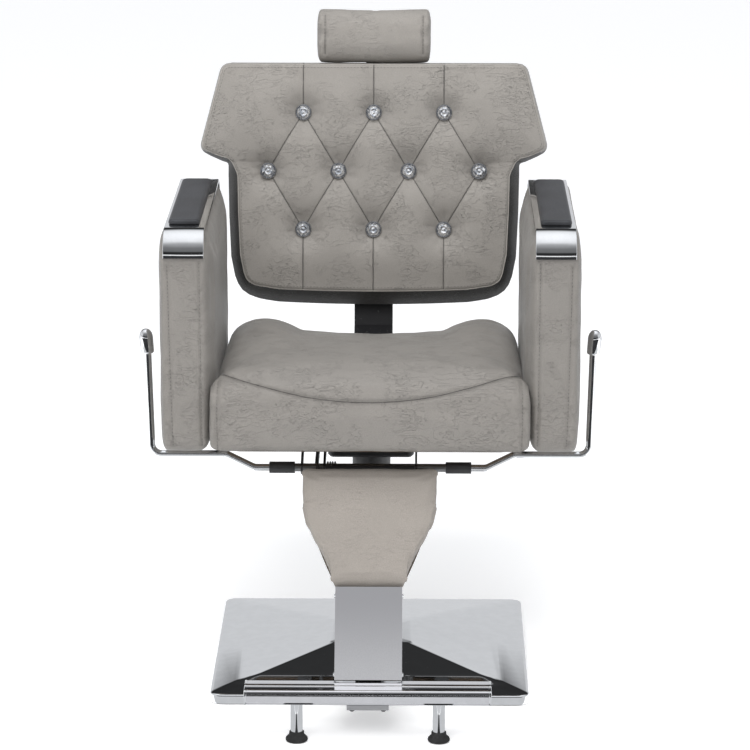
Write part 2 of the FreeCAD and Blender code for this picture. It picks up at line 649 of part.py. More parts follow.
pedal_eye = "pedal_pin_radius * 2"
arm_half = "pedal_arm_thickness / 2"
pedal = padded("pedal_lever", "YZ", [
    (f"-({pedal_eye})", f"-({pedal_eye})", f"{pedal_eye} * 0.9"),
    (f"{pedal_eye} * 1.3", f"-({pedal_eye})", "4"),
    (f"{pedal_eye} * 2.2", f"-({arm_half})", "6"), ("pedal_reach", f"-({arm_half})", "3"),
    ("pedal_reach", arm_half, "3"), (f"{pedal_eye} * 2.2", arm_half, "6"),
    (f"{pedal_eye} * 1.3", pedal_eye, "4"), (f"-({pedal_eye})", pedal_eye, f"{pedal_eye} * 0.9"),
], "pedal_arm_width")
place(pedal, "0", "pedal_pivot_back", "pedal_pivot_height")
pedal.Placement.Rotation = Rotation(Vector(1, 0, 0), S.pedal_rise)
bind(pedal, "Placement.Rotation.Angle", "pedal_rise")
pedal_bore = rod("pedal_bore", "X", "pedal_pin_radius + pin_gap", "-pedal_arm_width", "pedal_arm_width",
                 "pedal_pivot_back", "pedal_pivot_height")
piece(cut("pedal_bored", pedal, pedal_bore), "pedal_arm")

pad_start = "pedal_reach - pedal_pad_length"
pad_half = "pedal_pad_width / 2"
pedal_rubber = padded("pedal_rubber", "XY", [
    (f"-({pad_half})", pad_start, "10"), (pad_half, pad_start, "10"),
    (pad_half, "pedal_reach", "10"), (f"-({pad_half})", "pedal_reach", "10"),
], "pedal_pad_thickness", "0")
pedal_top = "pedal_arm_thickness / 2"
pedal_rubber.Placement.Rotation = Rotation(Vector(1, 0, 0), S.pedal_rise)
bind(pedal_rubber, "Placement.Rotation.Angle", "pedal_rise")
place(pedal_rubber, "0", f"pedal_pivot_back - ({pedal_top}) * sin(pedal_rise)",
      f"pedal_pivot_height + ({pedal_top}) * cos(pedal_rise)")
piece(pedal_rubber, "pedal_pad")

plate_top_height = "plate_bottom_height + plate_thickness"
hub_bore = "spigot_radius + swivel_gap"
piece(turned("hub_form", [
    (hub_bore, hub_foot), ("hub_radius", hub_foot), ("hub_radius", "plate_bottom_height"),
    (hub_bore, "plate_bottom_height"),
]), "swivel_hub")
swivel = new_body("swivel_plate_body")
swivel_pad = swivel.newObject("PartDesign::Pad", "pad")
swivel_pad.Profile = sketch(swivel, "XY", square_outline("plate_half_width", "plate_corner_radius * 1.5"))
bind(swivel_pad, "Length", "plate_thickness")
doc.recompute()
low_edges = [f"Edge{n}" for n, edge in enumerate(swivel_pad.Shape.Edges, 1)
             if edge.BoundBox.ZMax < 0.01 and edge.Length > S.plate_half_width]
swivel_chamfer = swivel.newObject("PartDesign::Chamfer", "lower_chamfer")
swivel_chamfer.Base = (swivel_pad, low_edges[:1])
swivel_chamfer.UseAllEdges = False
bind(swivel_chamfer, "Size", "plate_corner_radius / 2")
doc.recompute()
place(swivel, "0", "0", "plate_bottom_height")
piece(swivel, "swivel_plate")

frame_low = plate_top_height
frame_high = f"{plate_top_height} + rail_height"


def tube(name, x, y, axis):
    """A square tube of the seat frame between two formulas on X and Y, open along one axis."""
    outside = box(name + "_outside", x, y, (frame_low, frame_high))
    wall = "rail_wall"
    if axis == "Y":
        inner_x, inner_y = (f"{x[0]} + {wall}", f"{x[1]} - {wall}"), (y[0], y[1])
    else:
        inner_x, inner_y = (x[0], x[1]), (f"{y[0]} + {wall}", f"{y[1]} - {wall}")
    inside = box(name + "_inside", inner_x, inner_y, (f"{frame_low} + {wall}", f"{frame_high} - {wall}"))
    return cut(name, outside, inside)


rail_in = "rail_half_spacing - rail_width / 2"
rail_out = "rail_half_spacing + rail_width / 2"
rails = [
    tube("left_rail", (f"-({rail_out})", f"-({rail_in})"),
         ("frame_front + rail_width", "frame_rear - rail_width"), "Y"),
    tube("right_rail", (rail_in, rail_out), ("frame_front + rail_width", "frame_rear - rail_width"), "Y"),
    tube("front_rail", (f"-({rail_out})", rail_out), ("frame_front", "frame_front + rail_width"), "X"),
    tube("rear_rail", (f"-({rail_out})", rail_out), ("frame_rear - rail_width", "frame_rear"), "X"),
    tube("middle_rail", (f"-({rail_in})", rail_in), ("plate_half_width - rail_width", "plate_half_width"),
         "X"),
]
piece(padded("seat_ply", "XY", [
    ("-board_half_width", "board_front", "18"), ("board_half_width", "board_front", "18"),
    ("board_half_width", "board_rear", "18"), ("-board_half_width", "board_rear", "18"),
], "board_thickness", frame_high), "seat_board")

brackets = []
bracket_low = frame_high + " - bracket_thickness"
for side, sign in (("left", "-"), ("right", "")):
    for where, middle in (("front", "front_bracket_place"), ("rear", "rear_bracket_place")):
        ends = (f"-bracket_reach", f"-({rail_out})") if sign else (rail_out, "bracket_reach")
        brackets.append(box(f"arm_bracket_{side}_{where}", ends,
                            (f"{middle} - bracket_width / 2", f"{middle} + bracket_width / 2"),
                            (bracket_low, frame_high)))
piece(group("arm_bracket_set", brackets), "arm_brackets")


def side_profile(front, rear, low, high, front_top, rear_top, low_radius, inset):
    """The side view of an armrest or panel in the YZ plane, with round corners."""
    def corner(y, z, radius, turn_y, turn_z):
        middle = Vector(0, y + turn_y * radius * (1 - math.sqrt(0.5)),
                        z + turn_z * radius * (1 - math.sqrt(0.5)))
        return middle
    y0, y1, z0, z1 = front + inset, rear - inset, low, high - inset
    top_radius = front_top - inset
    back_radius = rear_top - inset
    return face_of([
        Vector(0, y0 + low_radius, z0), Vector(0, y1 - low_radius, z0),
        (corner(y1, z0, low_radius, -1, 1), Vector(0, y1, z0 + low_radius)),
        Vector(0, y1, z1 - back_radius),
        (corner(y1, z1, back_radius, -1, -1), Vector(0, y1 - back_radius, z1)),
        Vector(0, y0 + top_radius, z1),
        (corner(y0, z1, top_radius, 1, -1), Vector(0, y0, z1 - top_radius)),
        Vector(0, y0, z0 + low_radius),
        (corner(y0, z0, low_radius, 1, 1), Vector(0, y0 + low_radius, z0)),
    ])


seat_floor = S.plate_bottom_height + S.plate_thickness + S.rail_height + S.board_thickness
bracket_top = seat_floor - S.board_thickness
arm_bottom = bracket_top + S.soft_gap
strip_front = S.arm_front - S.strip_thickness - S.soft_gap
strip_rear = S.arm_rear + S.strip_thickness + S.soft_gap


def panel_profile(x, inset, lift):
    """The side view of an arm panel at one place across it, drawn in all round by an inset."""
    top = S.arm_top_height - S.strip_thickness - S.soft_gap
    top_radius = S.strip_bend_radius - S.strip_thickness
    outline = side_profile(S.arm_front + inset, S.arm_rear - inset, arm_bottom + inset + lift, top - inset,
                           top_radius, top_radius, S.arm_corner_radius, 0)
    outline.translate(Vector(x, 0, 0))
    return outline.OuterWire


def arm_panel(side):
    """A padded arm: a flat band all round between two swollen faces, with a sewn edge at each."""
    inner = side * S.arm_inner_half
    outer = side * S.arm_outer_half
    band = Part.makeLoft([panel_profile(inner, 0, 0), panel_profile(outer, 0, 0)], True, True)
    inner_puff = [(0, 0), (0.42, 4), (0.8, 20), (1, 60)]
    outer_puff = [(0, 0), (0.6, 6), (1, 30)]
    inner_wires = [panel_profile(inner - side * S.arm_inner_swell * out, inset, 0) for out,
                   inset in inner_puff]
    outer_wires = [panel_profile(outer + side * S.arm_outer_swell * out, inset, S.arm_bottom_tuck * out)
                   for out, inset in outer_puff]
    return band.fuse([Part.makeLoft(inner_wires, True, True), Part.makeLoft(outer_wires, True, True)])


def strip(side):
    """The bent chrome strip over the top of an arm, down over its front and its rear."""
    half = S.strip_width / 2
    radius = S.strip_bend_radius
    low = S.strip_rear_end_height - radius * 2
    outer = side_profile(strip_front, strip_rear, low, S.arm_top_height, radius, radius, radius * 0.5, 0)
    inner = side_profile(strip_front, strip_rear, low, S.arm_top_height, radius, radius, radius * 0.5,
                         S.strip_thickness)
    start = side * S.arm_centre - half
    ring = outer.cut(inner)
    ring.translate(Vector(start, 0, 0))
    bar = ring.extrude(Vector(S.strip_width, 0, 0))
    middle = (strip_front + strip_rear) / 2
    front_cut = Part.makeBox(S.strip_width * 2, middle - strip_front + radius,
                             S.strip_front_end_height - low + 1,
                             Vector(start - half, strip_front - radius, low - 1))
    rear_cut = Part.makeBox(S.strip_width * 2, strip_rear - middle + radius,
                            S.strip_rear_end_height - low + 1,
                            Vector(start - half, middle, low - 1))
    bar = bar.cut(front_cut).cut(rear_cut)
    lower = [edge for edge in bar.Edges if abs(edge.BoundBox.YLength - S.strip_thickness) < 0.01
             and edge.BoundBox.ZLength < 0.01]
    return bar.makeFillet(S.strip_width * 0.2, lower)


def arm_pad(side):
    """The thin glossy pad on the armrest, with round ends and a softened top edge."""
    half = S.pad_width / 2
    front = strip_front + S.strip_bend_radius + S.pad_front_margin
    rear = strip_rear - S.pad_rear_margin
    low = S.arm_top_height
    centre = side * S.arm_centre
    corner = S.pad_width * 0.18
    block = Part.makeBox(S.pad_width, rear - front, S.pad_thickness, Vector(centre - half, front, low))
    uprights = [edge for edge in block.Edges if edge.BoundBox.ZLength > S.pad_thickness * 0.9]
    block = block.makeFillet(corner, uprights)
    top = [edge for edge in block.Edges if edge.BoundBox.ZMin > low + S.pad_thickness * 0.9]
    return block.makeChamfer(S.pad_thickness * 0.35, top)


for side, name in ((-1, "left"), (1, "right")):
    solid(f"{name}_panel_form", f"arm_panel_{name}", arm_panel(side))
    solid(f"{name}_strip_form", f"armrest_strip_{name}", strip(side))
    solid(f"{name}_pad_form", f"armrest_pad_{name}", arm_pad(side))


def seat_section(place_y, half, top, rise, drop):
    """An upright section across the seat cushion: flat foot, drawn-in sides and a crowned top."""
    low = seat_floor + S.soft_gap
    high = low + top
    tuck = half * 0.045
    shoulder = Vector(half * 0.97, place_y, high - drop * 1.5)
    roll = Vector(half * 0.78, place_y, high - drop * 0.35 + rise)
    inner = Vector(half * 0.5, place_y, high - drop * 0.12 + rise * 0.35)
    return corners_of([
        Vector(-half + tuck, place_y, low), Vector(half - tuck, place_y, low),
        (Vector(half, place_y, low + top * 0.36), shoulder),
        (Vector(half * 0.91, place_y, high - drop * 0.72 + rise * 0.7), roll),
        (Vector(half * 0.64, place_y, high - drop * 0.16 + rise * 0.8), inner),
        (Vector(0, place_y, high), Vector(-inner.x, place_y, inner.z)),
        (Vector(-half * 0.64, place_y, high - drop * 0.16 + rise * 0.8), Vector(-roll.x, place_y, roll.z)),
        (Vector(-half * 0.91, place_y, high - drop * 0.72 + rise * 0.7),
         Vector(-shoulder.x, place_y, shoulder.z)),
        (Vector(-half, place_y, low + top * 0.36), Vector(-half + tuck, place_y, low)),
    ], 4)


def seat_cushion():
    length = S.seat_rear - S.seat_front
    front, middle = S.seat_half_front, S.seat_half_middle
    crown, rear = S.seat_crown_height, S.seat_rear_height
    stations = [
        (0, front * 0.975, crown * 0.7, 0, crown * 0.1), (0.03, front, crown * 0.87, 0, crown * 0.13),
        (0.1, front * 0.985, crown * 0.98, 0, crown * 0.14), (0.22, middle, crown, 0, crown * 0.15),
        (0.45, middle, crown * 0.97, S.seat_bolster_rise * 0.25, crown * 0.15),
        (0.7, middle, (crown + rear) / 2, S.seat_bolster_rise * 0.7, crown * 0.15),
        (0.95, middle, rear, S.seat_bolster_rise, crown * 0.14),
        (1, middle * 0.98, rear * 0.88, S.seat_bolster_rise, crown * 0.14),
    ]
    rings = [seat_section(S.seat_front + length * share, half, top, rise, drop)
             for share, half, top, rise, drop in stations]
    return stacked(rings).cut(smile_seam())


def smile_seam():
    """The curved line sewn across the front of the seat, as a thin blade that cuts its channel."""
    ends = S.seat_half_front * 0.97
    low = seat_floor + S.seat_crown_height * 0.66
    high = seat_floor + S.seat_crown_height * 0.99
    y = S.seat_front - S.seat_channel_depth
    face = face_of([
        Vector(-ends, y, high), (Vector(0, y, low), Vector(ends, y, high)),
        Vector(ends, y, high - S.seat_channel_depth),
        (Vector(0, y, low - S.seat_channel_depth), Vector(-ends, y, high - S.seat_channel_depth)),
    ])
    return face.extrude(Vector(0, S.seat_channel_depth * 2.2, 0))


solid("seat_cushion_form", "seat_cushion", seat_cushion())

bracket_half = S.leg_bracket_thickness / 2


def leg_hinge_plate(place_x, reach_hinge):
    """A hanging plate on the front rail that carries the lever shaft and, if wanted, the calf rest pin."""
    half = S.leg_bracket_thickness / 2
    rail_low = S.plate_bottom_height + S.plate_thickness
    rail_top = rail_low + S.rail_height
    nose = S.lever_place if not reach_hinge else S.leg_hinge_place
    eye = S.leg_pin_radius * 1.75
    x = place_x - half
    outline = face_of([
        Vector(x, S.frame_front, rail_top), Vector(x, nose, S.leg_hinge_height + eye),
        (Vector(x, nose - eye, S.leg_hinge_height), Vector(x, nose, S.leg_hinge_height - eye)),
        Vector(x, S.lever_place, S.lever_height - eye), Vector(x, S.frame_front, rail_low),
    ])
    blade = outline.extrude(Vector(S.leg_bracket_thickness, 0, 0))
    blade = blade.cut(Part.makeCylinder(S.lever_shaft_radius + S.pin_gap, S.leg_bracket_thickness * 2,
                                        Vector(x - half, S.lever_place, S.lever_height), Vector(1, 0, 0)))
    if reach_hinge:
        blade = blade.cut(Part.makeCylinder(S.leg_pin_radius + S.pin_gap, S.leg_bracket_thickness * 2,
                                            Vector(x - half, S.leg_hinge_place, S.leg_hinge_height),
                                            Vector(1, 0, 0)))
    return blade


solid("leg_plates_form", "leg_hinge_brackets", Part.makeCompound([
    leg_hinge_plate(-S.leg_bracket_place, True), leg_hinge_plate(S.leg_bracket_place, True),
    leg_hinge_plate(S.outer_plate_place, False),
]))

shaft_end = "sleeve_inner_end + sleeve_length * 0.5"
piece(rod("lever_cross_shaft", "X", "lever_shaft_radius", f"-({shaft_end})", shaft_end, "lever_place",
          "lever_height"), "lever_shaft")
sleeves = []
for side, sign in (("left", "-"), ("right", "")):
    near, far = "sleeve_inner_end", "sleeve_inner_end + sleeve_length"
    ends = (f"-({far})", f"-({near})") if sign else (near, far)
    outside = rod(f"sleeve_outside_{side}", "X", "sleeve_radius", ends[0], ends[1], "lever_place",
                  "lever_height")
    shaft_bore_ends = (f"-({shaft_end})", f"-({near})") if sign else (near, shaft_end)
    rod_bore_ends = (f"-({far})", f"-({shaft_end})") if sign else (shaft_end, far)
    bores = fuse(f"sleeve_bores_{side}", [
        rod(f"sleeve_shaft_bore_{side}", "X", "lever_shaft_radius", *shaft_bore_ends, "lever_place",
            "lever_height"),
        rod(f"sleeve_rod_bore_{side}", "X", "lever_rod_radius", *rod_bore_ends, "lever_place",
            "lever_height"),
    ])
    sleeves.append(cut(f"sleeve_{side}", outside, bores))
piece(group("sleeve_pair", sleeves), "lever_sleeves")


def lever_rod(side):
    inner = S.sleeve_inner_end + S.sleeve_length * 0.5
    level = S.lever_height + S.lever_run_rise
    y = S.lever_place
    points = [
        Vector(side * inner, y, S.lever_height), Vector(side * S.lever_run_start, y, S.lever_height),
        Vector(side * (S.lever_run_start + S.lever_slope_length), y, level),
        Vector(side * S.lever_outer_reach, y, level),
        Vector(side * (S.lever_outer_reach + S.lever_lean), y, S.lever_rod_top_height),
    ]
    return swept(points, S.lever_rod_radius, S.lever_bend_radius)


def lever_knob(side):
    """A bullet-shaped knob with a blind hole for the rod."""
    hole = S.knob_length * 0.2
    outline = face_of([
        Vector(0, 0, hole), Vector(S.lever_rod_radius, 0, hole), Vector(S.lever_rod_radius, 0, 0),
        Vector(S.knob_radius * 0.72, 0, 0), Vector(S.knob_radius, 0, S.knob_length * 0.4),
        Vector(S.knob_radius * 0.82, 0, S.knob_length * 0.85),
        Vector(S.knob_radius * 0.45, 0, S.knob_length),
        Vector(0, 0, S.knob_length),
    ])
    knob = outline.revolve(Vector(), Vector(0, 0, 1), 360)
    level = S.lever_height + S.lever_run_rise
    climb = S.lever_rod_top_height - level
    direction = Vector(side * S.lever_lean, 0, climb).normalize()
    top = Vector(side * (S.lever_outer_reach + S.lever_lean), S.lever_place, S.lever_rod_top_height)
    knob.Placement = Placement(top - direction * hole, Rotation(Vector(0, 0, 1), direction))
    return knob


solid("left_rod_form", "lever_handle_left", lever_rod(-1))
solid("right_rod_form", "lever_handle_right", lever_rod(1))
solid("knob_pair_form", "lever_knobs", Part.makeCompound([lever_knob(-1), lever_knob(1)]))


def coil_spring(place_x):
    """The return spring on the lever shaft: one wire whose coils stand a named gap apart."""
    pitch = S.spring_wire_radius * 2 + S.spring_wire_gap

    def on_helix(turns):
        angle = 2 * math.pi * turns
        return Vector(S.spring_coil_radius * math.cos(angle), S.spring_coil_radius * math.sin(angle),
                      pitch * turns)
    path = Part.makePolygon([on_helix(k / 16) for k in range(int(S.spring_turns) * 16 + 1)])
    start = on_helix(0)
    side = [Vector(S.spring_wire_radius * math.cos(math.radians(45 * k)), 0,
                   S.spring_wire_radius * math.sin(math.radians(45 * k))) for k in range(8)]
    ring = Part.makePolygon([start + spot for spot in side] + [start + side[0]])
    coil = path.makePipeShell([ring], True, False, 1)
    coil.Placement = Placement(Vector(place_x, S.lever_place, S.lever_height),
                               Rotation(Vector(0, 1, 0), 90))
    turn = 2 * math.pi / 48
    line = [Vector(S.spring_coil_radius * math.cos(turn * k), S.spring_coil_radius * math.sin(turn * k),
                   pitch * k / 48) for k in range(48 * int(S.spring_turns))]
    least = min(line[a].distanceToPoint(line[b]) for a in range(len(line)) for b in range(a + 24,
                                                                                          len(line)))
    print("least gap between the spring's turns", round(least - S.spring_wire_radius * 2, 2))
    return coil


spring_start = -S.leg_bracket_place + bracket_half + S.side_gap + S.spring_wire_radius
solid("return_spring_form", "lever_spring", coil_spring(spring_start))

LEG_TURN = Rotation(Vector(1, 0, 0), -S.leg_tilt)
LEG_FRAME = Placement(Vector(0, S.calf_top_place, S.calf_top_height), LEG_TURN)


def on_slope(shape):
    """Move a shape drawn flat, with depth along Y and length down Z, onto the hanging calf rest."""
    shape.Placement = LEG_FRAME.multiply(shape.Placement)
    return shape


def tulip(inset, depth):
    """The calf pad's outline at one depth: straight sides that curve in to a narrow foot."""
    top = S.calf_half_top - inset
    foot = S.calf_half_bottom - inset
    low = -S.calf_length + inset
    bend = -S.calf_straight_length
    middle = Vector((top + foot) / 2 + (top - foot) * 0.06, depth, bend + (low - bend) * 0.5)
    mirrored = Vector(-middle.x, depth, middle.z)
    return face_of([
        Vector(-top, depth, -inset), Vector(top, depth, -inset), Vector(top, depth, bend),
        (middle, Vector(foot, depth, low)), Vector(-foot, depth, low),
        (mirrored, Vector(-top, depth, bend)),
    ])


board_face = S.calf_pad_thickness + S.soft_gap
board_rear_face = board_face + S.calf_board_thickness
pad_wires = [tulip(inset, depth).OuterWire for inset, depth in (
    (11, 0), (3.5, S.calf_pad_thickness * 0.22), (0, S.calf_pad_thickness * 0.6),
    (2, S.calf_pad_thickness))]
solid("calf_pad_form", "calf_pad", on_slope(Part.makeLoft(pad_wires, True, True)))
solid("calf_board_form", "calf_board",
      on_slope(tulip(4, board_face).extrude(Vector(0, S.calf_board_thickness, 0))))

stem_front = board_rear_face + 0.2
barrel_radius = S.leg_pin_radius + 4
hinge_local = LEG_FRAME.inverse().multVec(Vector(0, S.leg_hinge_place, S.leg_hinge_height))
stem_length = S.cover_bottom + S.stem_depth * 2
stem_block = Part.makeBox(S.stem_width, S.stem_depth, stem_length + hinge_local.z,
                          Vector(-S.stem_width / 2, stem_front, -stem_length))
stem_hollow = Part.makeBox(S.stem_width - 5, S.stem_depth - 5, stem_length,
                           Vector(-S.stem_width / 2 + 2.5, stem_front + 2.5, -stem_length - 20))
stem = on_slope(stem_block.cut(stem_hollow))
floor_cut = Part.makeBox(S.stem_width * 4, S.tread_depth * 20, S.tread_bottom_height * 3,
                         Vector(-S.stem_width * 2, -S.tread_depth * 12, -S.tread_bottom_height * 2))
stem = stem.cut(floor_cut)
barrel_half = S.leg_bracket_place - bracket_half - S.side_gap
hinge_spot = Vector(-barrel_half, S.leg_hinge_place, S.leg_hinge_height)
barrel = Part.makeCylinder(barrel_radius, barrel_half * 2, hinge_spot, Vector(1, 0, 0))
bore = Part.makeCylinder(S.leg_pin_radius, barrel_half * 2, hinge_spot, Vector(1, 0, 0))
solid("stem_form", "leg_stem", stem.fuse(barrel).cut(bore).removeSplitter())

crank_inner = -S.link_place - S.link_bar_thickness / 2 - S.side_gap - S.crank_thickness
pin_left = -(crank_inner + S.crank_thickness)
pin_right = S.leg_bracket_place + bracket_half + 4
solid("leg_pin_form", "leg_hinge_pin", Part.makeCylinder(
    S.leg_pin_radius, pin_right - pin_left, Vector(pin_left, S.leg_hinge_place, S.leg_hinge_height),
    Vector(1, 0, 0)))


def crank(place_x, thickness, hub, tip, hub_radius, tip_radius, shaft_radius):
    """A flat crank arm between a hub and a tip, tangent to both."""
    first = Part.makeCylinder(hub_radius, thickness, Vector(place_x, hub.y, hub.z), Vector(1, 0, 0))
    second = Part.makeCylinder(tip_radius, thickness, Vector(place_x, tip.y, tip.z), Vector(1, 0, 0))
    along = (tip - hub).normalize()
    across = Vector(0, -along.z, along.y)
    reach = hub.distanceToPoint(tip)
    lean = (hub_radius - tip_radius) / reach
    rise = math.sqrt(1 - lean * lean)
    corners = []
    for sign in (1, -1):
        normal = across * (sign * rise) + along * lean
        corners.append((hub + normal * hub_radius, tip + normal * tip_radius))
    (a, b), (d, c) = corners
    web = face_of([Vector(place_x, spot.y, spot.z) for spot in (a, b, c, d)]).extrude(Vector(thickness, 0,
                                                                                             0))
    arm = first.fuse(second).fuse(web).removeSplitter()
    return arm.cut(Part.makeCylinder(shaft_radius, thickness * 3,
                                     Vector(place_x - thickness, hub.y, hub.z),
                                     Vector(1, 0, 0)))


leg_hub = Vector(0, S.leg_hinge_place, S.leg_hinge_height)
leg_tip = leg_hub - Vector(0, 0, S.link_crank)
leg_crank = crank(pin_left, S.crank_thickness, leg_hub, leg_tip, S.leg_pin_radius + 5, S.crank_eye_radius,
                  S.leg_pin_radius)
link_pin_length = S.link_bar_thickness + S.side_gap * 2 + 2
leg_link_pin = Part.makeCylinder(S.link_pin_radius, link_pin_length,
                                 Vector(pin_left - link_pin_length, leg_tip.y, leg_tip.z), Vector(1, 0, 0))
solid("leg_crank_form", "leg_crank", leg_crank.fuse(leg_link_pin))

front_y = -2 - S.cover_wall
flange_top = -S.calf_length - 2
front_sheet = Part.makeBox(S.cover_half_width * 2, S.cover_wall, S.cover_bottom - S.cover_top,
                           Vector(-S.cover_half_width, front_y, -S.cover_bottom))
flanges = [Part.makeBox(S.cover_wall, S.cover_flange, S.cover_bottom + flange_top,
                        Vector(x, front_y, -S.cover_bottom))
           for x in (-S.cover_half_width, S.cover_half_width - S.cover_wall)]
cover = front_sheet.fuse(flanges).removeSplitter()
screws = []
for side in (-1, 1):
    for down in (S.calf_length + S.cover_screw_radius * 3, S.cover_bottom - S.cover_screw_radius * 3):
        spot = Vector(side * S.cover_half_width, S.cover_flange * 0.3, -down)
        dome = Part.makeCone(S.cover_screw_radius, S.cover_screw_radius * 0.55,
                             S.cover_screw_radius * 0.55)
        shank = Part.makeCylinder(S.cover_screw_radius * 0.5, 7, Vector(0, 0, -7))
        screw = dome.fuse(shank)
        screw.Placement = Placement(spot, Rotation(Vector(0, 0, 1), Vector(side, 0, 0)))
        screws.append(on_slope(screw))
screw_holes = Part.makeCompound([
    on_slope(Part.makeCylinder(S.cover_screw_radius * 0.5, 8, Vector(side * (S.cover_half_width + 1),
             S.cover_flange * 0.3, -down), Vector(-side, 0, 0)))
    for side in (-1, 1)
    for down in (S.calf_length + S.cover_screw_radius * 3, S.cover_bottom - S.cover_screw_radius * 3)])
solid("cover_form", "stem_cover", on_slope(cover).cut(screw_holes))
solid("cover_screw_form", "stem_cover_screws", Part.makeCompound(screws))

tread_front = "tread_place - tread_depth / 2"
tread_rear = "tread_place + tread_depth / 2"
tread_top = "tread_bottom_height + tread_thickness"
groove = "tread_groove_depth"
tread = padded("tread_bar", "YZ", [
    (tread_front, "tread_bottom_height", "tread_nose_radius"), (tread_rear, "tread_bottom_height", "3"),
    (tread_rear, tread_top, "3"), (f"{tread_rear} - 7", tread_top),
    (f"{tread_rear} - 7", f"{tread_top} - {groove}"),
    (f"{tread_rear} - 9", f"{tread_top} - {groove}"), (f"{tread_rear} - 9", tread_top),
    (tread_front, tread_top, "tread_nose_radius"),
], "tread_width - end_cap_thickness * 2")
tread_hole_y = "tread_place + clamp_thickness"
tread_holes = fuse("tread_holes", [
    rod(f"tread_hole_{k}", "Z", "pump_bolt_radius * 0.8", "tread_bottom_height",
        "tread_bottom_height + tread_thickness * 0.6", f"clamp_bolt_half_spacing * {sign}", tread_hole_y)
    for k, sign in enumerate((-1, 1))])
piece(cut("tread_with_holes", tread, tread_holes), "foot_tread")

caps = []
for side, sign in (("left", "-"), ("right", "")):
    cap = padded(f"cap_{side}", "YZ", [
        (tread_front, "tread_bottom_height", "tread_nose_radius"),
        (tread_rear, "tread_bottom_height", "3"),
        (tread_rear, tread_top, "3"), (tread_front, tread_top, "tread_nose_radius"),
    ], "end_cap_thickness", f"{sign}(tread_width / 2) - {'0' if sign else 'end_cap_thickness'}")
    caps.append(cap)
piece(group("end_cap_pair", caps), "tread_end_caps")

stem_reach = (S.calf_top_height - S.tread_bottom_height) * math.tan(math.radians(S.leg_tilt))
stem_rear = (stem_front + S.stem_depth) / math.cos(math.radians(S.leg_tilt))
stem_rear_y = S.calf_top_place - stem_reach + stem_rear
clamp_front = S.tread_place - S.tread_depth * 0.38
clamp_low = S.tread_bottom_height - S.clamp_thickness
clamp = Part.makeBox(S.clamp_width, stem_rear_y - clamp_front, S.clamp_thickness,
                     Vector(-S.clamp_width / 2, clamp_front, clamp_low))
clamp_corners = [edge for edge in clamp.Edges if edge.BoundBox.ZLength > S.clamp_thickness * 0.9]
clamp = clamp.makeFillet(S.clamp_thickness, clamp_corners)
for sign in (-1, 1):
    clamp = clamp.cut(Part.makeCylinder(S.pump_bolt_radius * 0.8, S.clamp_thickness * 2, Vector(
        sign * S.clamp_bolt_half_spacing, S.tread_place + S.clamp_thickness, clamp_low - 1)))
solid("clamp_form", "tread_clamp", clamp)

clamp_bolts = []
for k, sign in enumerate((-1, 1)):
    spot = (f"clamp_bolt_half_spacing * {sign}", tread_hole_y)
    low = "tread_bottom_height - clamp_thickness"
    shank = rod(f"clamp_shank_{k}", "Z", "pump_bolt_radius * 0.8", low,
                "tread_bottom_height + tread_thickness * 0.6", *spot)
    head = doc.addObject("Part::Prism", f"clamp_head_{k}")
    head.Polygon = 6
    bind(head, "Circumradius", "pump_bolt_radius * 1.6")
    bind(head, "Height", "pump_bolt_radius")
    place(head, spot[0], spot[1], f"{low} - pump_bolt_radius")
    clamp_bolts.append(fuse(f"clamp_bolt_{k}", [shank, head]))
piece(group("clamp_bolt_pair", clamp_bolts), "tread_clamp_bolts")

tubes = []
rubbers = []
sock = "foot_rubber_height * 0.35"
for side, sign in (("left", "-"), ("right", "")):
    spot = (f"{sign}foot_half_spacing", "foot_place")
    foot_low = "foot_floor_gap + foot_rubber_height * 0.35"
    outside = rod(f"foot_outside_{side}", "Z", "foot_tube_radius", foot_low, "tread_bottom_height", *spot)
    inside = rod(f"foot_inside_{side}", "Z", "foot_tube_radius - foot_tube_wall", foot_low,
                 "tread_bottom_height", *spot)
    tubes.append(cut(f"foot_tube_{side}", outside, inside))
    rubber = turned(f"rubber_{side}", [
        ("0", "0"), ("foot_rubber_radius", "0"), ("foot_rubber_radius", "foot_rubber_height * 0.25"),
        ("foot_tube_radius + 3.5", "foot_rubber_height * 0.6"),
        ("foot_tube_radius + 2", "foot_rubber_height"), ("foot_tube_radius", "foot_rubber_height"),
        ("foot_tube_radius", sock), ("0", sock),
    ])
    place(rubber, spot[0], spot[1], "foot_floor_gap")
    rubbers.append(rubber)
piece(group("foot_tube_pair", tubes), "foot_tubes")
piece(group("foot_rubber_pair", rubbers), "foot_rubbers")

BACK_TURN = Rotation(Vector(1, 0, 0), -S.back_tilt)
BACK_FRAME = Placement(Vector(0, S.back_face_place, S.back_bottom_height), BACK_TURN)


def on_back(shape):
    """Move a shape drawn flat, with depth along Y and height up Z, onto the sloping back."""
    shape.Placement = BACK_FRAME.multiply(shape.Placement)
    return shape


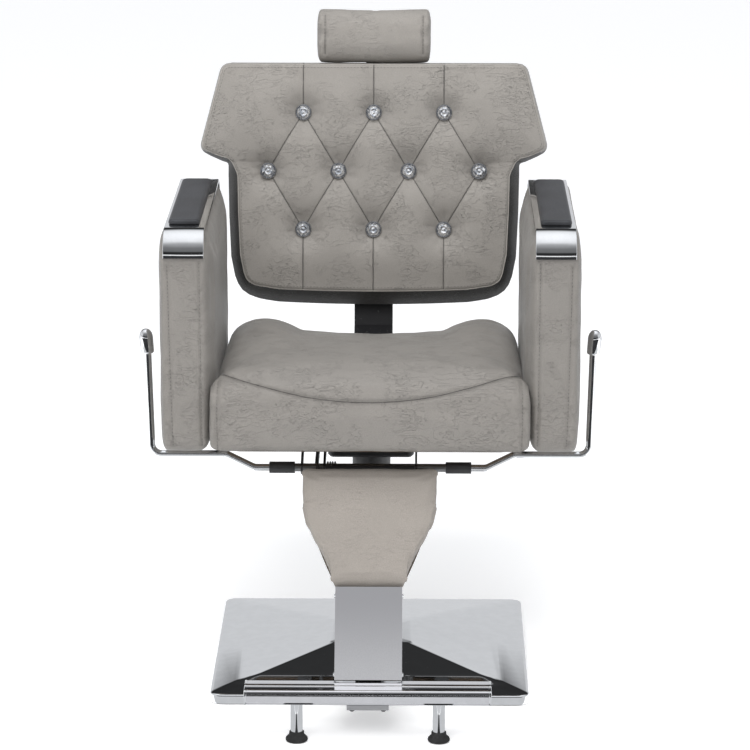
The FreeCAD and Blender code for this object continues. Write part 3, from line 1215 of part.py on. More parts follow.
def winged(inset, depth):
    """The back's outline at one depth: a straight body between the arms and wider shoulders above them."""
    body = S.back_half_body - inset
    wing = S.back_half_wing - inset
    top = S.back_half_top - inset
    low = inset
    high = S.back_length - inset
    drop = S.back_bottom_drop
    ledge = S.wing_low + inset
    widest = S.wing_widest
    round_low = drop * 2.2

    def spot(x, z):
        return Vector(x, depth, z)
    half = [
        (body - round_low, low + drop), (body - round_low * 0.3, low + drop + round_low * 0.3),
        (body, low + drop + round_low),
    ]
    wing_corner = wing - (widest - ledge) * 0.55
    wing_round = wing - (wing - wing_corner) * 0.3
    slope_foot = ledge + (widest - ledge) * 0.38
    slope = (top - wing) / (high - widest)
    top_round = 9
    return face_of([
        spot(-half[0][0], half[0][1]), (spot(0, low), spot(half[0][0], half[0][1])),
        (spot(*half[1]), spot(*half[2])), spot(body, ledge - 3), spot(wing_corner, slope_foot),
        (spot(wing_round, ledge + (widest - ledge) * 0.58), spot(wing, widest)),
        spot(top - slope * top_round, high - top_round),
        (spot(top - top_round * 0.28, high - top_round * 0.28), spot(top - top_round, high)),
        spot(-top + top_round, high),
        (spot(-top + top_round * 0.28, high - top_round * 0.28),
         spot(-top + slope * top_round, high - top_round)),
        spot(-wing, widest),
        (spot(-wing_round, ledge + (widest - ledge) * 0.58), spot(-wing_corner, slope_foot)),
        spot(-body, ledge - 3), spot(-body, half[2][1]),
        (spot(-half[1][0], half[1][1]), spot(-half[0][0], half[0][1])),
    ])


def crown_slab():
    """A slab whose front swells between its top, bottom and side edges."""
    reach = S.back_half_wing * 1.02
    rear = S.back_thickness
    edge = S.back_thickness - S.back_edge_thickness
    rings = []
    for share, lift in ((-0.03, 0.15), (0.12, 0.72), (0.35, 1.0), (0.65, 1.0), (0.9, 0.72), (1.03, 0.2)):
        z = S.back_length * share
        front = edge * (1 - lift)
        rings.append(corners_of([
            Vector(-reach, rear, z), Vector(reach, rear, z), Vector(reach, edge * 1.4, z),
            (Vector(reach * 0.86, front + edge * 0.28, z), Vector(reach * 0.6, front, z)),
            Vector(-reach * 0.6, front, z),
            (Vector(-reach * 0.86, front + edge * 0.28, z), Vector(-reach, edge * 1.4, z)),
        ], 4))
    return stacked(rings)


BUTTONS = []
for row, columns in ((0, (-1, 0, 1)), (1, (-1.5, -0.5, 0.5, 1.5)), (2, (-1, 0, 1))):
    for column in columns:
        BUTTONS.append((column * S.tuft_column_pitch, S.tuft_top_row - row * S.tuft_row_pitch))
button_plane = S.tuft_depth


def pleat(start, end, depth, size):
    """A straight sewn fold between two points of the back's face."""
    first = Vector(start[0], depth, start[1])
    last = Vector(end[0], depth, end[1])
    run = last - first
    across = Vector(-run.z, 0, run.x).normalize() * size
    wedge = Part.Face(Part.makePolygon([first - across - Vector(0, size, 0),
                                        first + across - Vector(0, size, 0),
                                        first + Vector(0, size, 0), first - across - Vector(0, size, 0)]))
    return wedge.extrude(run)


def tufting():
    """Dishes round the buttons and the folds that join them."""
    tools = []
    for x, z in BUTTONS:
        dish = Part.makeCone(S.tuft_radius * 1.5, S.button_radius * 0.8, S.tuft_depth * 1.5,
                             Vector(x, -S.tuft_depth * 0.5, z), Vector(0, 1, 0))
        seat = Part.makeCylinder(S.button_radius + S.soft_gap, S.tuft_depth * 2,
                                 Vector(x, -S.tuft_depth, z),
                                 Vector(0, 1, 0))
        tools.append(dish.fuse(seat))
    fold = S.tuft_depth * 0.45
    depth = fold * 0.1
    for i, (x, z) in enumerate(BUTTONS):
        for x2, z2 in BUTTONS[i + 1:]:
            if abs(abs(x - x2) - S.tuft_column_pitch / 2) < 1 and abs(abs(z - z2) - S.tuft_row_pitch) < 1:
                tools.append(pleat((x, z), (x2, z2), depth, fold))
    for column in (-1, 0, 1):
        x = column * S.tuft_column_pitch
        tools.append(pleat((x, S.tuft_top_row), (x, S.back_length + fold), depth, fold * 0.8))
        low_row = S.tuft_top_row - 2 * S.tuft_row_pitch
        tools.append(pleat((x, low_row), (x, -fold), depth, fold * 0.8))
    return tools


prism = winged(0, -1).extrude(Vector(0, S.back_thickness + 1, 0))
cushion = prism.common(crown_slab())
for tool in tufting():
    cushion = cushion.cut(tool)
solid("back_cushion_form", "back_cushion", on_back(cushion))
board_front_face = S.back_thickness + S.soft_gap
solid("back_board_form", "back_board",
      on_back(winged(6, board_front_face).extrude(Vector(0, S.back_board_thickness, 0))))

def gem_ring(x, depth, z, radius):
    """One eight-sided outline of a cut crystal."""
    spots = [Vector(x + radius * math.cos(math.radians(45 * k)), depth,
                    z + radius * math.sin(math.radians(45 * k)))
             for k in range(9)]
    return Part.makePolygon(spots)


rims = []
crystals = []
for x, z in BUTTONS:
    rim_front = button_plane - 5
    rim_rear = button_plane - S.soft_gap
    seat_radius = S.button_radius * 0.74
    rim = Part.makeCone(S.button_radius, seat_radius, rim_rear - rim_front, Vector(x, rim_rear, z),
                        Vector(0, -1, 0))
    rims.append(on_back(rim))
    gem = Part.makeLoft([gem_ring(x, rim_front, z, seat_radius),
                         gem_ring(x, rim_front - 4, z, seat_radius * 0.55)],
                        True, True)
    crystals.append(on_back(gem))
solid("button_rim_set", "button_rims", Part.makeCompound(rims))
solid("crystal_set", "button_crystals", Part.makeCompound(crystals))

bar_rear_face = board_front_face + S.back_board_thickness
half_bar = S.back_bar_width / 2
thick = S.back_bar_thickness
up_front = S.back_bar_place
lap_low = -S.back_bar_overhang


def back_spot(depth, height):
    """A point of the back's own frame, seen from the side."""
    return BACK_FRAME.multVec(Vector(0, depth, height))


low_hinge = S.back_hinge_height
bend = S.back_bar_bend_height
front_line = [Vector(0, up_front, low_hinge - S.hinge_ear_radius), Vector(0, up_front, bend),
              back_spot(bar_rear_face, lap_low), back_spot(bar_rear_face, lap_low + S.back_bar_lap)]
rear_line = [back_spot(bar_rear_face + thick, lap_low + S.back_bar_lap),
             back_spot(bar_rear_face + thick, lap_low - 5),
             Vector(0, up_front + thick, bend - 5),
             Vector(0, up_front + thick, low_hinge - S.hinge_ear_radius)]
bar_side = face_of(front_line + rear_line)
bar_side.translate(Vector(-half_bar, 0, 0))
bar = bar_side.extrude(Vector(S.back_bar_width, 0, 0))
ear_thick = S.crank_ear_thickness
hinge = Vector(0, S.back_hinge_place, S.back_hinge_height)
for x in (-half_bar, half_bar - ear_thick):
    nose = Part.makeCylinder(S.hinge_ear_radius, ear_thick, Vector(x, hinge.y, hinge.z), Vector(1, 0, 0))
    web = Part.makeBox(ear_thick, up_front - hinge.y + 1, S.hinge_ear_radius * 2,
                       Vector(x, hinge.y, hinge.z - S.hinge_ear_radius))
    bar = bar.fuse(nose.fuse(web))
bar = bar.cut(Part.makeCylinder(S.back_pin_radius, S.back_bar_width, Vector(-half_bar, hinge.y, hinge.z),
                                Vector(1, 0, 0)))
solid("back_bar_form", "back_bracket", bar.removeSplitter())

link_crank_low = pin_left
gas_crank_start = S.gas_place - S.crank_thickness / 2
pin_right_end = gas_crank_start + S.crank_thickness
solid("back_pin_form", "back_hinge_pin", Part.makeCylinder(
    S.back_pin_radius, pin_right_end - link_crank_low, Vector(link_crank_low, hinge.y, hinge.z),
    Vector(1, 0, 0)))
link_tip = hinge - Vector(0, 0, S.link_crank)
link_crank = crank(link_crank_low, S.crank_thickness, hinge, link_tip, S.back_pin_radius + 5,
                   S.crank_eye_radius,
                   S.back_pin_radius)
rear_link_pin = Part.makeCylinder(S.link_pin_radius, link_pin_length,
                                  Vector(link_crank_low - link_pin_length, link_tip.y, link_tip.z),
                                  Vector(1, 0, 0))
rest_lean = math.radians(S.back_recline / 2)
gas_tip = hinge + Vector(0, S.gas_crank * math.sin(rest_lean), -S.gas_crank * math.cos(rest_lean))
gas_crank = crank(gas_crank_start, S.crank_thickness, hinge, gas_tip, S.back_pin_radius + 5,
                  S.gas_pin_radius + 3,
                  S.back_pin_radius)
eye_thickness = S.gas_rod_radius * 1.6
gas_pin_length = eye_thickness + S.side_gap * 2 + 2
gas_pin = Part.makeCylinder(S.gas_pin_radius, gas_pin_length, Vector(pin_right_end, gas_tip.y, gas_tip.z),
                            Vector(1, 0, 0))
solid("crank_pair_form", "back_cranks", Part.makeCompound([
    link_crank.fuse(rear_link_pin), gas_crank.fuse(gas_pin)]))

rail_low_height = S.plate_bottom_height + S.plate_thickness
bracket_inner = half_bar + S.side_gap
hinge_plates = []
for side in (-1, 1):
    x = bracket_inner if side > 0 else -bracket_inner - ear_thick
    outline = face_of([
        Vector(x, S.frame_rear, rail_low_height), Vector(x, hinge.y, hinge.z - S.hinge_ear_radius),
        (Vector(x, hinge.y + S.hinge_ear_radius, hinge.z),
         Vector(x, hinge.y, hinge.z + S.hinge_ear_radius)),
        Vector(x, S.frame_rear, rail_low_height + S.rail_height),
    ])
    blade = outline.extrude(Vector(ear_thick, 0, 0))
    hinge_plates.append(blade.cut(Part.makeCylinder(
        S.back_pin_radius + S.pin_gap, ear_thick * 3, Vector(x - ear_thick, hinge.y, hinge.z),
        Vector(1, 0, 0))))
solid("back_plates_form", "back_hinge_brackets", Part.makeCompound(hinge_plates))


def bar_with_eyes(place_x, thickness, width, start, end, bores):
    """A flat bar between two round eyes, each bored for its own pin."""
    eye = S.crank_eye_radius
    along = (end - start).normalize()
    across = Vector(0, -along.z, along.y) * (width / 2)
    corners = [start + across, end + across, end - across, start - across]
    bar = face_of([Vector(place_x, c.y, c.z) for c in corners]).extrude(Vector(thickness, 0, 0))
    for spot in (start, end):
        bar = bar.fuse(Part.makeCylinder(eye, thickness, Vector(place_x, spot.y, spot.z), Vector(1, 0, 0)))
    bar = bar.removeSplitter()
    for spot, radius in zip((start, end), bores):
        bar = bar.cut(Part.makeCylinder(radius, thickness * 3, Vector(place_x - thickness, spot.y, spot.z),
                                        Vector(1, 0, 0)))
    return bar


solid("link_form", "push_link", bar_with_eyes(
    S.link_place - S.link_bar_thickness / 2, S.link_bar_thickness, S.link_bar_width, leg_tip, link_tip,
    (S.link_pin_radius + S.open_pivot_gap, S.link_pin_radius + S.pin_gap)))

gas_arc_high = S.gas_crank * math.cos(rest_lean)
gas_height = S.back_hinge_height - (gas_arc_high + S.gas_crank) / 2
gas_x = pin_right_end + S.side_gap + eye_thickness / 2
stroke = 2 * S.gas_crank * math.sin(rest_lean)
eye_outer = S.gas_pin_radius + S.gas_eye_gap + 3
cylinder_rear = gas_tip.y - stroke - eye_outer - 2
cylinder_front = cylinder_rear - S.gas_cylinder_length
rod_front = cylinder_rear - stroke - 12
gas_bore = S.gas_rod_radius + S.pin_gap
cylinder = Part.makeCylinder(S.gas_cylinder_radius, S.gas_cylinder_length,
                             Vector(gas_x, cylinder_front, gas_height),
                             Vector(0, 1, 0))
cylinder = cylinder.cut(Part.makeCylinder(gas_bore, cylinder_rear - rod_front + stroke + 3,
                                          Vector(gas_x, rod_front - stroke - 3, gas_height),
                                          Vector(0, 1, 0)))
solid("gas_cylinder_form", "gas_spring_cylinder", cylinder)

gas_rod = Part.makeCylinder(S.gas_rod_radius, gas_tip.y - eye_outer + 2 - rod_front,
                            Vector(gas_x, rod_front, gas_height), Vector(0, 1, 0))
eye_start = gas_x - eye_thickness / 2
slot_half = S.gas_eye_gap
eye_side = face_of([
    Vector(eye_start, gas_tip.y - eye_outer, gas_height - slot_half),
    (Vector(eye_start, gas_tip.y, gas_height - slot_half - eye_outer),
     Vector(eye_start, gas_tip.y + eye_outer, gas_height - slot_half)),
    Vector(eye_start, gas_tip.y + eye_outer, gas_height + slot_half),
    (Vector(eye_start, gas_tip.y, gas_height + slot_half + eye_outer),
     Vector(eye_start, gas_tip.y - eye_outer, gas_height + slot_half)),
])
eye = eye_side.extrude(Vector(eye_thickness, 0, 0))
eye_bore = S.gas_pin_radius + S.open_pivot_gap
slot = Part.makeBox(eye_thickness, eye_bore * 2, slot_half * 2,
                    Vector(eye_start, gas_tip.y - eye_bore, gas_height - slot_half))
for sign in (-1, 1):
    slot = slot.fuse(Part.makeCylinder(eye_bore, eye_thickness,
                                       Vector(eye_start, gas_tip.y, gas_height + sign * slot_half),
                                       Vector(1, 0, 0)))
solid("gas_rod_form", "gas_spring_rod", gas_rod.fuse(eye).cut(slot))

clamp_wall = 5
clamp_front = cylinder_rear - S.rail_width * 1.4
gas_block = Part.makeBox(S.gas_cylinder_radius * 2 + clamp_wall * 2, S.rail_width * 1.2,
                         rail_low_height - gas_height + S.gas_cylinder_radius + clamp_wall,
                         Vector(gas_x - S.gas_cylinder_radius - clamp_wall, clamp_front,
                                gas_height - S.gas_cylinder_radius - clamp_wall))
gas_clamp = doc.addObject("Part::Feature", "gas_clamp")
gas_clamp.Shape = gas_block.cut(Part.makeCylinder(S.gas_cylinder_radius, S.rail_width * 3, Vector(
    gas_x, clamp_front - S.rail_width, gas_height), Vector(0, 1, 0)))
rails.append(gas_clamp)
piece(fuse("welded_frame", rails), "seat_frame")

rest_low = S.back_length + S.headrest_gap
bar_depth = bar_rear_face + 2
bar_low = S.back_length - S.headrest_travel - 70
socket_low = S.back_length - 62
socket_high = S.back_length - 14
half_slide = S.headrest_bar_width / 2
socket_wall = 5
socket = Part.makeBox(S.headrest_bar_width + 40, S.headrest_bar_thickness + socket_wall + 2 + S.slide_gap,
                      socket_high - socket_low, Vector(-half_slide - 20, bar_rear_face, socket_low))
tunnel = Part.makeBox(S.headrest_bar_width + S.slide_gap * 2, S.headrest_bar_thickness + S.slide_gap * 2,
                      socket_high - socket_low,
                      Vector(-half_slide - S.slide_gap, bar_depth - S.slide_gap, socket_low))
solid("socket_form", "headrest_socket", on_back(socket.cut(tunnel)))

rest_depth = 12
plate_depth = rest_depth + S.headrest_thickness + S.soft_gap
slide_bar = Part.makeBox(S.headrest_bar_width, S.headrest_bar_thickness,
                         rest_low + S.headrest_height * 0.5 - bar_low,
                         Vector(-half_slide, bar_depth, bar_low))
carrier = Part.makeBox(S.headrest_half_width, bar_depth - plate_depth, S.headrest_height * 0.5,
                       Vector(-S.headrest_half_width / 2, plate_depth,
                              rest_low + S.headrest_height * 0.22))
solid("headrest_bar_form", "headrest_bar", on_back(slide_bar.fuse(carrier).removeSplitter()))


def headrest_section(x):
    """An upright section through the headrest pad: a full rounded front and a flatter rear."""
    share = abs(x) / S.headrest_half_width
    high = rest_low + S.headrest_height - S.headrest_saddle * (1 - share ** 2)
    low = rest_low
    front = rest_depth + S.headrest_thickness * 0.10 * share ** 2
    rear = rest_depth + S.headrest_thickness
    middle = (high + low) / 2
    depth = rear - front
    return corners_of([
        Vector(x, rear, low + 10), Vector(x, rear, high - 10),
        (Vector(x, rear - depth * 0.10, high - 2), Vector(x, rear - depth * 0.28, high)),
        Vector(x, front + depth * 0.38, high - 1),
        (Vector(x, front + depth * 0.10, high - (high - middle) * 0.26), Vector(x, front, middle)),
        (Vector(x, front + depth * 0.10, low + (middle - low) * 0.26),
         Vector(x, front + depth * 0.38, low + 1)),
        Vector(x, rear - depth * 0.28, low),
        (Vector(x, rear - depth * 0.10, low + 2), Vector(x, rear, low + 10)),
    ], 3)


stations = [S.headrest_half_width * share for share in (-1, -0.8, -0.4, 0, 0.4, 0.8, 1)]
solid("headrest_pad_form", "headrest_pad",
      on_back(stacked([headrest_section(x) for x in stations])))

doc.recompute()
for obj in doc.Objects:
    if "Invalid" in obj.State or "Error" in obj.State:
        raise RuntimeError(f"{obj.Label} could not be built: {obj.State}")
os.makedirs("parts", exist_ok=True)
for item in PIECES:
    if item.Shape.isNull() or not item.Shape.isValid() or not item.Shape.Solids:
        raise RuntimeError(f"{item.Label} has no valid solid")
    item.Shape.exportStep(f"parts/{item.Label}.step")
print(len(PIECES), "pieces written")
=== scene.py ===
import math

import bmesh
import bpy
import numpy as np
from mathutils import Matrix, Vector, noise
from mathutils.bvhtree import BVHTree
from mathutils.kdtree import KDTree


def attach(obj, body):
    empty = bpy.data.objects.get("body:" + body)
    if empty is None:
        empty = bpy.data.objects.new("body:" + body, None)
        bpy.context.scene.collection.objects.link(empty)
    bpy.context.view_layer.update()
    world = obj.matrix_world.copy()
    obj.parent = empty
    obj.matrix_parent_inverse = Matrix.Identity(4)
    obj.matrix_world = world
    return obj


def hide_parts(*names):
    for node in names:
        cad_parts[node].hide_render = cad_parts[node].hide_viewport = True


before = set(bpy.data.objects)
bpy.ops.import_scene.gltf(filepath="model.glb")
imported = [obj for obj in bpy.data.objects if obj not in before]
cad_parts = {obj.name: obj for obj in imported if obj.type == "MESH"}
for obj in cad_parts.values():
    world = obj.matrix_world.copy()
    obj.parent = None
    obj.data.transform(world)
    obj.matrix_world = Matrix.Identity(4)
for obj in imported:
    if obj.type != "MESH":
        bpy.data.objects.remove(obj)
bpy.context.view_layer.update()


# ------------ paint maths
def maths(operation, swapped=False):
    """A method that joins a link to others by a Math node; swapped puts it last."""
    def method(self, *others):
        values = (*others, self) if swapped else (self, *others)
        return self.owner.node("Math", dict(enumerate(values)), operation=operation)
    return method


class Link:
    """One output in a tree of nodes; sums written on it add Math nodes."""

    def __init__(self, owner, socket):
        self.owner = owner
        self.socket = socket

    __add__ = __radd__ = maths("ADD")
    __sub__ = maths("SUBTRACT")
    __rsub__ = maths("SUBTRACT", swapped=True)
    __mul__ = maths("MULTIPLY")
    size = maths("ABSOLUTE")
    least = maths("MINIMUM")
    most = maths("MAXIMUM")
    folded = maths("PINGPONG")

    def wrapped(self):
        """Distance from the nearest whole number, from 0 to a half."""
        return self.folded(0.5)

    def between(self, low, high):
        """0 below low, 1 above high, and smooth from one to the other."""
        return self.owner.node("MapRange", {"Value": self, "From Min": low, "From Max": high},
                               interpolation_type="SMOOTHSTEP")


def set_all(item, settings):
    for name, value in settings.items():
        setattr(item, name, value)


class Nodes:
    """The shader and the output of a material or a world, and the means to add nodes in front of them."""

    def __init__(self, owner, shader, end):
        owner.use_nodes = True
        self.tree = owner.node_tree
        self.tree.nodes.clear()
        self.shader = self.tree.nodes.new("ShaderNode" + shader)
        self.tree.links.new(self.shader.outputs[0], self.tree.nodes.new("ShaderNode" + end).inputs[0])

    def set_socket(self, socket, value):
        if isinstance(value, Link):
            self.tree.links.new(value.socket, socket)
        elif isinstance(value, tuple) and len(value) == 3 and socket.type == "RGBA":
            socket.default_value = (*value, 1)
        else:
            socket.default_value = value

    def feed(self, **values):
        for name, value in values.items():
            self.set_socket(self.shader.inputs[name.replace("_", " ")], value)

    def node(self, kind, values=None, out=0, **settings):
        """A new node: values are its inputs, out the output that is used, and settings its own choices."""
        item = self.tree.nodes.new("ShaderNode" + kind)
        set_all(item, settings)
        for name, value in (values or {}).items():
            self.set_socket(item.inputs[name], value)
        return Link(self, item.outputs[out])

    def mix(self, factor, one, two):
        """One colour or the other by the factor."""
        return self.node("Mix", {0: factor, 6: one, 7: two}, 2, data_type="RGBA")


class Paint(Nodes):
    """A procedural material."""

    def __init__(self, name, **shader):
        self.material = bpy.data.materials.new(name)
        super().__init__(self.material, "BsdfPrincipled", "OutputMaterial")
        self.feed(**shader)

    def place(self):
        """The point on the surface in metres, in the piece's own space."""
        return self.node("TexCoord", out="Object")

    def worn(self):
        """A mask of the piece's raised edges, before between() sets its limits."""
        return self.node("NewGeometry", out="Pointiness")

    def stretched(self, x, y, z):
        """The surface point scaled by a factor along each axis."""
        return self.node("Mapping", {"Vector": self.place(), "Scale": (x, y, z)}, vector_type="POINT")

    def grain(self, size, detail=2.0, rough=0.5, where=None, warp=0.0):
        """Noise with features of about the given size in metres."""
        return self.node("TexNoise", {"Vector": where or self.place(), "Scale": 1 / size, "Detail": detail,
                                      "Roughness": rough, "Distortion": warp})

    def cells(self, scale, out):
        """Random cells, so many to a metre."""
        return self.node("TexVoronoi", {"Vector": self.place(), "Scale": scale}, out, feature="F1")

    def relief(self, height, depth, strength, under=None):
        """A bump of the given depth in metres, over another where one is given."""
        values = {"Height": height, "Distance": depth, "Strength": strength}
        return self.node("Bump", {**values, "Normal": under} if under else values)

    def finished(self, colour, roughness, normal):
        self.feed(Base_Color=colour, Roughness=roughness, Normal=normal)
        return self.material


def tinted(shade, factor, more=0.0):
    return tuple(c * factor + more for c in shade)


# ------------ finishes
def leather(name, shade, crease=1.0, shaded_folds=None):
    """Warm grey upholstery: fine pebble, clustered wrinkles with painted highlights along them, cloudy colour and paler
    worn edges.
    The last argument gives a mask of the crisp folds and seam lines that are too fine for the mesh; the leather is
    painted dark along them as painted shade."""
    paint = Paint(name, Roughness=0.5, IOR=1.45, Specular_IOR_Level=0.4, Sheen_Weight=0.1, Sheen_Roughness=0.45)
    cloud = paint.grain(0.085, 3, 0.6)
    patch = paint.grain(0.045, 3, 0.6)
    mottle = paint.grain(0.011, 4, 0.7)
    tooth = paint.grain(0.0019, 2, 0.6)
    drift = paint.node("TexNoise", {"Vector": paint.place(), "Scale": 31.0, "Detail": 2.0}, "Color")
    swirl = paint.node("VectorMath", {0: drift, 1: (0.015, 0.015, 0.02), 2: paint.stretched(0.36, 1.0, 1.25)},
                       operation="MULTIPLY_ADD")

    def creases(size, warp, width, shown):
        """Thin lines where warped noise passes its middle value, in the places that a mask shows."""
        return (1 - (paint.grain(size, 1, 0.5, swirl, warp) - 0.5).size().between(0.0, width)) * shown

    creases_and_highlights = (creases(0.0042, 0.4, 0.016, patch.between(0.42, 0.62)) * 0.75
             + creases(0.016, 0.9, 0.012, cloud.between(0.45, 0.58)) * 0.55)
    colour = paint.mix(cloud.between(0.32, 0.7), tinted(shade, 0.93), tinted(shade, 1.08))
    colour = paint.mix(mottle.between(0.35, 0.7) * 0.22, colour, tinted(shade, 1.28))
    # Painted highlights: the crease lines are painted paler, as if light catches their ridges.
    colour = paint.mix(creases_and_highlights * (0.2 * crease), colour, tinted(shade, 1.55))
    colour = paint.mix(tooth.between(0.36, 0.64) * 0.5, tinted(shade, 0.86), colour)
    colour = paint.mix(paint.worn().between(0.53, 0.62) * 0.3, colour, tinted(shade, 1.4))
    bumps = paint.relief(paint.cells(820.0, "Distance"), 0.00018, 0.45)
    bumps = paint.relief(mottle, 0.0005, 0.35, bumps)
    bumps = paint.relief(creases_and_highlights, 0.0011 * crease, 1.0, bumps)
    if shaded_folds:
        lines = shaded_folds(paint)
        # Painted shade: the leather is painted dark along the folds and tucks, where the tufting draws it in.
        colour = paint.mix(lines * 0.6, colour, tinted(shade, 0.16))
        bumps = paint.relief(1 - lines, 0.0022, 0.9, bumps)
    return paint.finished(colour, 0.42 + mottle * 0.18 - creases_and_highlights * 0.04, bumps)


def chrome(name, tint=(0.86, 0.87, 0.88), roughness=0.045, ripple=0.00012):
    """Plated metal: mirror bright, with the faint waviness and fine wiping marks of polished plate."""
    paint = Paint(name, Metallic=1.0)
    haze = paint.grain(0.02, 4, 0.6)
    return paint.finished(paint.mix(haze.between(0.35, 0.75), tinted(tint, 0.95), tint),
                          roughness + haze.between(0.55, 0.85) * 0.05,
                          paint.relief(paint.grain(0.055, 2, 0.5), ripple, 0.6))


def brushed(name, tint, along, fineness=0.0012, height_shading=None):
    """Brushed metal with fine lines that run one way; the last argument is a height, a height and the tint there, for
    painted shading from one height to the other.
    """
    paint = Paint(name, Metallic=1.0)
    lines = paint.grain(fineness, 3, 0.6, paint.stretched(*(0.03 if axis == along else 1.0 for axis in "xyz")))
    cloud = paint.grain(0.05, 2, 0.5)
    colour = paint.mix(lines.between(0.3, 0.7) * 0.35 + cloud * 0.2, tint, tinted(tint, 0.72))
    if height_shading:
        low, high, foot = height_shading
        height = paint.node("SeparateXYZ", {"Vector": paint.place()}, "Z")
        # Painted shading: the colour runs from the metal's tint at the first height to the given tint at the second.
        colour = paint.mix(height.between(low, high), colour, foot)
    return paint.finished(colour, 0.3 + lines * 0.14 - 0.05, paint.relief(lines, 0.00008, 0.5))


def black_coat(name, shade, roughness, texture=0.0009, depth=0.00012):
    """Powder coat: near black, with orange peel, dulled dust and rubbed edges."""
    paint = Paint(name, Specular_IOR_Level=0.5)
    dust = paint.grain(0.03, 4, 0.65)
    colour = paint.mix(dust.between(0.45, 0.8) * 0.5, shade, tinted(shade, 1.8, 0.006))
    return paint.finished(paint.mix(paint.worn().between(0.54, 0.66) * 0.4, colour, tinted(shade, 3, 0.03)),
                          roughness + dust * 0.14 - 0.05, paint.relief(paint.grain(texture, 2, 0.5), depth, 0.5))


def moulded_black(name, shade):
    """Moulded black pad: a satin skin with a faint grain, scuffs that catch the light and dust in the hollows."""
    paint = Paint(name, Specular_IOR_Level=0.32)
    scuff = paint.grain(0.003, 3, 0.7, paint.stretched(1.0, 0.1, 1.0))
    cloud = paint.grain(0.045, 3, 0.55)
    colour = paint.mix(cloud.between(0.3, 0.75), shade, tinted(shade, 1.6))
    return paint.finished(paint.mix(scuff.between(0.62, 0.8) * 0.35, colour, tinted(shade, 2.6)),
                          0.42 + cloud * 0.12 - scuff * 0.06, paint.relief(paint.grain(0.0016, 3, 0.6), 0.00012, 0.5))


def rubber(name, shade):
    """Moulded rubber: matt black with a fine tooth and a grey bloom."""
    paint = Paint(name, Specular_IOR_Level=0.3)
    tooth = paint.grain(0.0011, 2, 0.6)
    bloom = paint.grain(0.018, 4, 0.65)
    return paint.finished(paint.mix(bloom.between(0.45, 0.8) * 0.6, shade, tinted(shade, 2.6)),
                          0.58 + tooth * 0.25, paint.relief(tooth, 0.0002, 0.5))


def plywood(name, shade):
    """Bare plywood: long pale grain with darker pores."""
    paint = Paint(name, Specular_IOR_Level=0.25)
    fibre = paint.grain(0.004, 5, 0.65, paint.stretched(0.12, 1.0, 1.0), 0.4)
    pore = paint.grain(0.0012, 2, 0.5, paint.stretched(0.05, 1.0, 1.0))
    colour = paint.mix(fibre.between(0.3, 0.7), tinted(shade, 0.75), tinted(shade, 1.2))
    return paint.finished(paint.mix(pore.between(0.6, 0.75) * 0.5, colour, tinted(shade, 0.45)),
                          0.6 + fibre * 0.2, paint.relief(pore, 0.0002, 0.5))


def thread(name, shade):
    """Sewing thread: twisted strands with a soft lustre."""
    paint = Paint(name, Sheen_Weight=0.3, Specular_IOR_Level=0.3)
    twist = paint.grain(0.0007, 1, 0.5)
    return paint.finished(paint.mix(twist.between(0.35, 0.65), tinted(shade, 0.7), shade),
                          0.5 + twist * 0.3, paint.relief(twist, 0.0003, 0.6))


def crystal(name):
    """Cut crystal over foil: bright facets with a slight cloud inside."""
    paint = Paint(name, Metallic=0.88, Specular_IOR_Level=0.8)
    glint = paint.node("SeparateColor", {"Color": paint.cells(260.0, "Color")})
    cloud = paint.grain(0.0022, 2, 0.6)
    colour = paint.mix(glint.between(0.25, 0.75), (0.42, 0.45, 0.5), (0.97, 0.98, 1.0))
    return paint.finished(paint.mix(cloud.between(0.45, 0.75) * 0.4, colour, (1.0, 1.0, 1.0)),
                          0.03 + cloud * 0.05, paint.relief(glint, 0.0006, 0.5))


# ------------ shaping tools
def linked(name, data):
    """A new object in the scene."""
    thing = bpy.data.objects.new(name, data)
    bpy.context.scene.collection.objects.link(thing)
    return thing


def new_mesh(name, corners, faces, paint):
    mesh = bpy.data.meshes.new(name)
    mesh.from_pydata([tuple(c) for c in corners], [], faces)
    mesh.update()
    mesh.materials.append(paint)
    return linked(name, mesh)


def new_piece(name, form, paint, body, replaced=None, fold=None, smooth=True):
    """A mesh from its corners and faces, painted, riding on its body and in the place of its CAD part.
    Edges sharper than the fold, in degrees, stay crisp."""
    piece = new_mesh(name, *form, paint)
    piece.data.shade_smooth() if smooth else piece.data.shade_flat()
    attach(piece, body)
    if fold:
        creased(piece, fold)
    if replaced:
        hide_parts(replaced)
    return piece


def creased(piece, angle):
    """Smooth shading that keeps the folds sharper than the angle."""
    mesh = bmesh.new()
    mesh.from_mesh(piece.data)
    bmesh.ops.recalc_face_normals(mesh, faces=mesh.faces)
    for edge in mesh.edges:
        edge.smooth = len(edge.link_faces) == 2 and edge.calc_face_angle() < math.radians(angle)
    mesh.to_mesh(piece.data)
    mesh.free()


def numbers_of(points, name):
    """A vector of each mesh point as an array: its place, co, or its normal."""
    flat = np.empty(len(points) * 3, np.float32)
    points.foreach_get(name, flat)
    return flat.reshape(-1, 3).astype(float)


def points_of(piece):
    return numbers_of(piece.data.vertices, "co")


def normals_of(piece):
    return numbers_of(piece.data.vertices, "normal")


def set_points(piece, points):
    piece.data.vertices.foreach_set("co", np.asarray(points, float).ravel())
    piece.data.update()


def evaluated(piece):
    return piece.evaluated_get(bpy.context.evaluated_depsgraph_get())


def modified(piece, kind, **settings):
    """Add a modifier and apply it to the mesh."""
    item = piece.modifiers.new(kind.lower(), kind)
    set_all(item, settings)
    mesh = bpy.data.meshes.new_from_object(evaluated(piece))
    paints = list(piece.data.materials)
    piece.modifiers.clear()
    piece.data = mesh
    if not mesh.materials:
        for paint in paints:
            mesh.materials.append(paint)
    mesh.shade_smooth()


